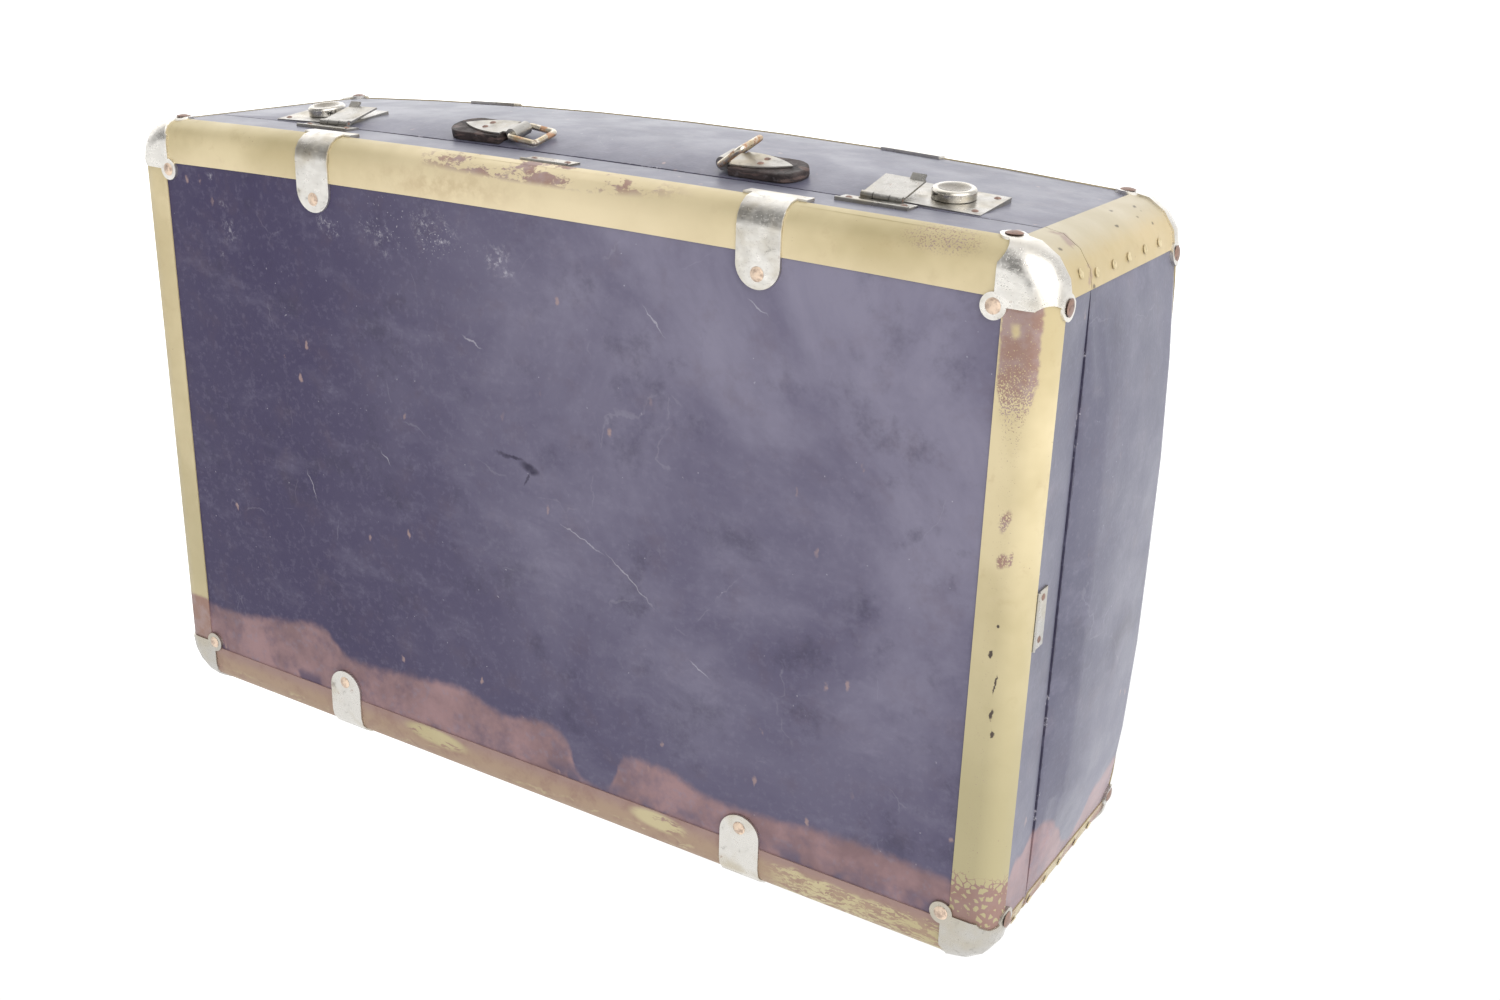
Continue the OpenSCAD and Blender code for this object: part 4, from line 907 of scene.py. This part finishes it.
def spreadRivets(nodeName):
    piece = copyNode(nodeName)
    pick(piece)
    bpy.ops.mesh.separate(type="LOOSE")
    heads = list(bpy.context.selected_objects)
    for head in heads:
        size = [max(side) - min(side) for side in zip(*head.bound_box)]
        if max(size) < rivetLook["small"]:
            continue
        thin = size.index(min(size))
        where = "panel" if thin == 1 else "wall"  # thin along y: on the front or the back
        spread, flat = rivetLook[where + "Spread"], rivetLook[where + "Flat"]
        pick(head)
        bpy.ops.object.origin_set(type="ORIGIN_GEOMETRY", center="BOUNDS")
        head.scale = [flat if i == thin else spread for i in range(3)]
        bpy.ops.object.transform_apply(location=True, rotation=True, scale=True)
    for head in heads:
        head.select_set(True)
    bpy.context.view_layer.objects.active = piece
    bpy.ops.object.join()
    bpy.ops.object.shade_smooth_by_angle(angle=math.radians(rivetLook["angle"]))
    finishCopy(piece, nodeName)


for nodeName in ("lid_rivets", "base_rivets"):
    spreadRivets(nodeName)
print("rivets spread")


# nails of the corner bands: one head with a pressed ring, copied along each band
nailLook = {
    "radius": 0.0027, "height": 0.00045, "sides": 20, "angle": 30,
    # insets of the top face and the lift after each: rim, ring pressed down, and up again, crown
    "steps": ((0.00035, 0.00012), (0.0007, -0.0003), (0.00035, 0.0003), (0.0006, 0.00015)),
    "grooveReach": 0.0001,
    "bandRadius": 0.0308, "arcX": 0.320, "arcTop": 0.4092, "arcLow": 0.0322, "sink": 0.00012,
    "baseRow": (-0.044, -0.018, 0.006, 0.033, 0.058), "baseTurn": 16.6,
    "lidRow": (-0.066,), "lidTurn": 22.5,
}


def makeNailHead():
    look = nailLook
    bpy.ops.object.select_all(action="DESELECT")
    bpy.ops.mesh.primitive_cylinder_add(vertices=look["sides"], radius=look["radius"], depth=look["height"],
                                        location=(0, 0, look["height"] / 2))
    head = bpy.context.active_object
    bpy.ops.object.transform_apply(location=True, rotation=True, scale=True)
    for polygon in head.data.polygons:
        polygon.select = polygon.normal.z > 0.9
    bpy.ops.object.mode_set(mode="EDIT")
    for thick, lift in look["steps"]:
        bpy.ops.mesh.inset(thickness=thick)
        bpy.ops.transform.translate(value=(0, 0, lift))
    bpy.ops.object.mode_set(mode="OBJECT")
    groove = head.data.attributes.new("groove", "FLOAT", "POINT")
    inner = look["radius"] - look["steps"][0][0] - look["steps"][1][0]
    for vertex, mark in zip(head.data.vertices, groove.data):
        mark.value = 1.0 if abs(vertex.co.xy.length - inner) < look["grooveReach"] else 0.0
    return head


def makeNails(name, body, row, turn):
    look = nailLook
    head = makeNailHead()
    copies = []
    for sideX in (-1, 1):
        for arcZ, lean in ((look["arcTop"], turn), (look["arcLow"], -turn)):
            angle = math.radians(lean)
            out = Vector((sideX * math.cos(angle), 0, math.sin(angle)))
            for depth in row:
                pick(head)
                bpy.ops.object.duplicate()
                nail = bpy.context.active_object
                centre = Vector((sideX * look["arcX"], depth, arcZ))
                nail.rotation_euler = out.to_track_quat("Z", "Y").to_euler()
                nail.location = centre + out * (look["bandRadius"] - look["sink"])
                bpy.ops.object.transform_apply(location=True, rotation=True, scale=True)
                copies.append(nail)
    bpy.data.objects.remove(head)
    pick(copies[0])
    for nail in copies:
        nail.select_set(True)
    bpy.ops.object.join()
    nails = bpy.context.active_object
    nails.name = nails.data.name = name
    bpy.ops.object.shade_smooth_by_angle(angle=math.radians(look["angle"]))
    paint(nails, "nailGold")
    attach(nails, body)


makeNails("baseNails", "base", nailLook["baseRow"], nailLook["baseTurn"])
makeNails("lidNails", "lid", nailLook["lidRow"], nailLook["lidTurn"])
print("nails made")


# handle pads: thick leather, its cut edge rounded and uneven with age
padLook = {
    "flat": 2.0, "round": 0.0011, "roundSteps": 3, "voxel": 0.00055,
    "uneven": 0.0006, "waves": 0.011, "midLevel": 0.75, "softRounds": 3,
}


def makePad(nodeName):
    piece = copyNode(nodeName, "padLeft" if nodeName.endswith("left") else "padRight", padLook["flat"])
    roundEdges(piece, padLook["round"], padLook["roundSteps"])
    mesh = piece.modifiers.new("evenMesh", "REMESH")
    mesh.mode = "VOXEL"
    mesh.voxel_size = padLook["voxel"]
    waves = bpy.data.textures.new(piece.name + "Waves", "CLOUDS")
    waves.noise_scale = padLook["waves"]
    swell = piece.modifiers.new("uneven", "DISPLACE")
    swell.texture = waves
    swell.strength = padLook["uneven"]
    swell.mid_level = padLook["midLevel"]
    soft = piece.modifiers.new("soften", "SMOOTH")
    soft.iterations = padLook["softRounds"]
    applyAll(piece)
    pick(piece)
    bpy.ops.object.shade_smooth()
    finishCopy(piece, nodeName)


for nodeName in ("handle_pad_left", "handle_pad_right"):
    makePad(nodeName)
print("pads made")


# stage: pale floor, soft light, the photograph's own camera
stageLook = {
    "floorZ": -0.0006, "floorSide": 40.0, "floorColour": (0.10, 0.10, 0.10, 1), "floorRough": 0.9,
    "floorGlow": 1.02,
    # brighter pools on the floor: centre, radius, extra glow
    "pools": (((0.55, -0.75, 0.0), 1.0, 0.3), ((0.95, 0.55, 0.0), 0.9, 0.5), ((-1.0, -1.5, 0.0), 1.3, 0.35)),
    "worldGlow": 0.82, "worldColour": (1.0, 0.99, 0.985, 1), "backdrop": 1.05,
    # soft lights in the room: direction, where the lobe starts and is full, extra glow
    "lobes": (((-0.66, 0.68, 0.32), 0.40, 0.97, 0.95), ((0.74, -0.42, 0.52), 0.58, 0.95, 1.9),
              ((-0.45, -0.75, 0.40), 0.55, 0.95, -0.55)),
}


def makeFloor():
    bpy.ops.object.select_all(action="DESELECT")
    bpy.ops.mesh.primitive_plane_add(size=stageLook["floorSide"], location=(0, 0, stageLook["floorZ"]))
    floor = bpy.context.active_object
    floor.name = "paleFloor"
    mat, tree, shader, place = startMaterial("paleFloor")
    shader.inputs["Base Color"].default_value = stageLook["floorColour"]
    shader.inputs["Roughness"].default_value = stageLook["floorRough"]
    shader.inputs["Specular IOR Level"].default_value = 0.0
    shader.inputs["Emission Color"].default_value = (1, 1, 1, 1)
    glow = stageLook["floorGlow"]
    for centre, radius, extra in stageLook["pools"]:
        pool = patch(tree, place, centre, (radius, radius, 1.0), 0.0, 0.0)
        glow = calc(tree, "ADD", glow, both(tree, pool, extra))
    feed(tree, shader.inputs["Emission Strength"], glow)
    floor.data.materials.append(mat)
    floor.visible_camera = False  # the lid opens below floor level, and has to stay in sight


def makeLights():
    world = bpy.data.worlds.new("softRoom")
    bpy.context.scene.world = world
    world.use_nodes = True
    tree = world.node_tree
    back = tree.nodes["Background"]
    place = tree.nodes.new("ShaderNodeTexCoord").outputs["Generated"]
    glow = stageLook["worldGlow"]
    for axis, start, full, extra in stageLook["lobes"]:
        turn = tree.nodes.new("ShaderNodeVectorMath")
        turn.operation = "DOT_PRODUCT"
        tree.links.new(place, turn.inputs[0])
        turn.inputs[1].default_value = Vector(axis).normalized()
        glow = calc(tree, "ADD", glow, ramp(tree, turn.outputs["Value"], start, full, 0.0, extra))
    # the backdrop itself is plain white
    seen = tree.nodes.new("ShaderNodeLightPath").outputs["Is Camera Ray"]
    glow = calc(tree, "MAXIMUM", glow, both(tree, seen, stageLook["backdrop"]))
    tree.links.new(glow, back.inputs["Strength"])
    back.inputs["Color"].default_value = stageLook["worldColour"]


cameraLook = {
    "lens": 38.33, "sensor": 36, "azimuth": 31.36, "elevation": 20.75, "roll": 1.86,
    "target": (0.12426, -0.022, 0.2304), "distance": 1.0447, "farClip": 100,
}


def makeCamera():
    az, el, roll = (math.radians(cameraLook[k]) for k in ("azimuth", "elevation", "roll"))
    back = Vector((math.sin(az) * math.cos(el), -math.cos(az) * math.cos(el), math.sin(el)))
    right = (-back).cross(Vector((0, 0, 1))).normalized()
    up = right.cross(-back)
    turnedRight = right * math.cos(roll) + up * math.sin(roll)
    turnedUp = up * math.cos(roll) - right * math.sin(roll)
    bpy.ops.object.camera_add()
    camera = bpy.context.active_object
    camera.data.sensor_width = cameraLook["sensor"]
    camera.data.lens = cameraLook["lens"]
    camera.data.clip_end = cameraLook["farClip"]
    turn = Matrix((turnedRight, turnedUp, back)).transposed().to_4x4()
    stand = Vector(cameraLook["target"]) + back * cameraLook["distance"]
    camera.matrix_world = Matrix.Translation(stand) @ turn
    bpy.context.scene.camera = camera


makeFloor()
makeLights()
makeCamera()
bpy.context.scene.view_settings.view_transform = "Standard"
bpy.context.scene.view_settings.look = "None"
print("stage set")
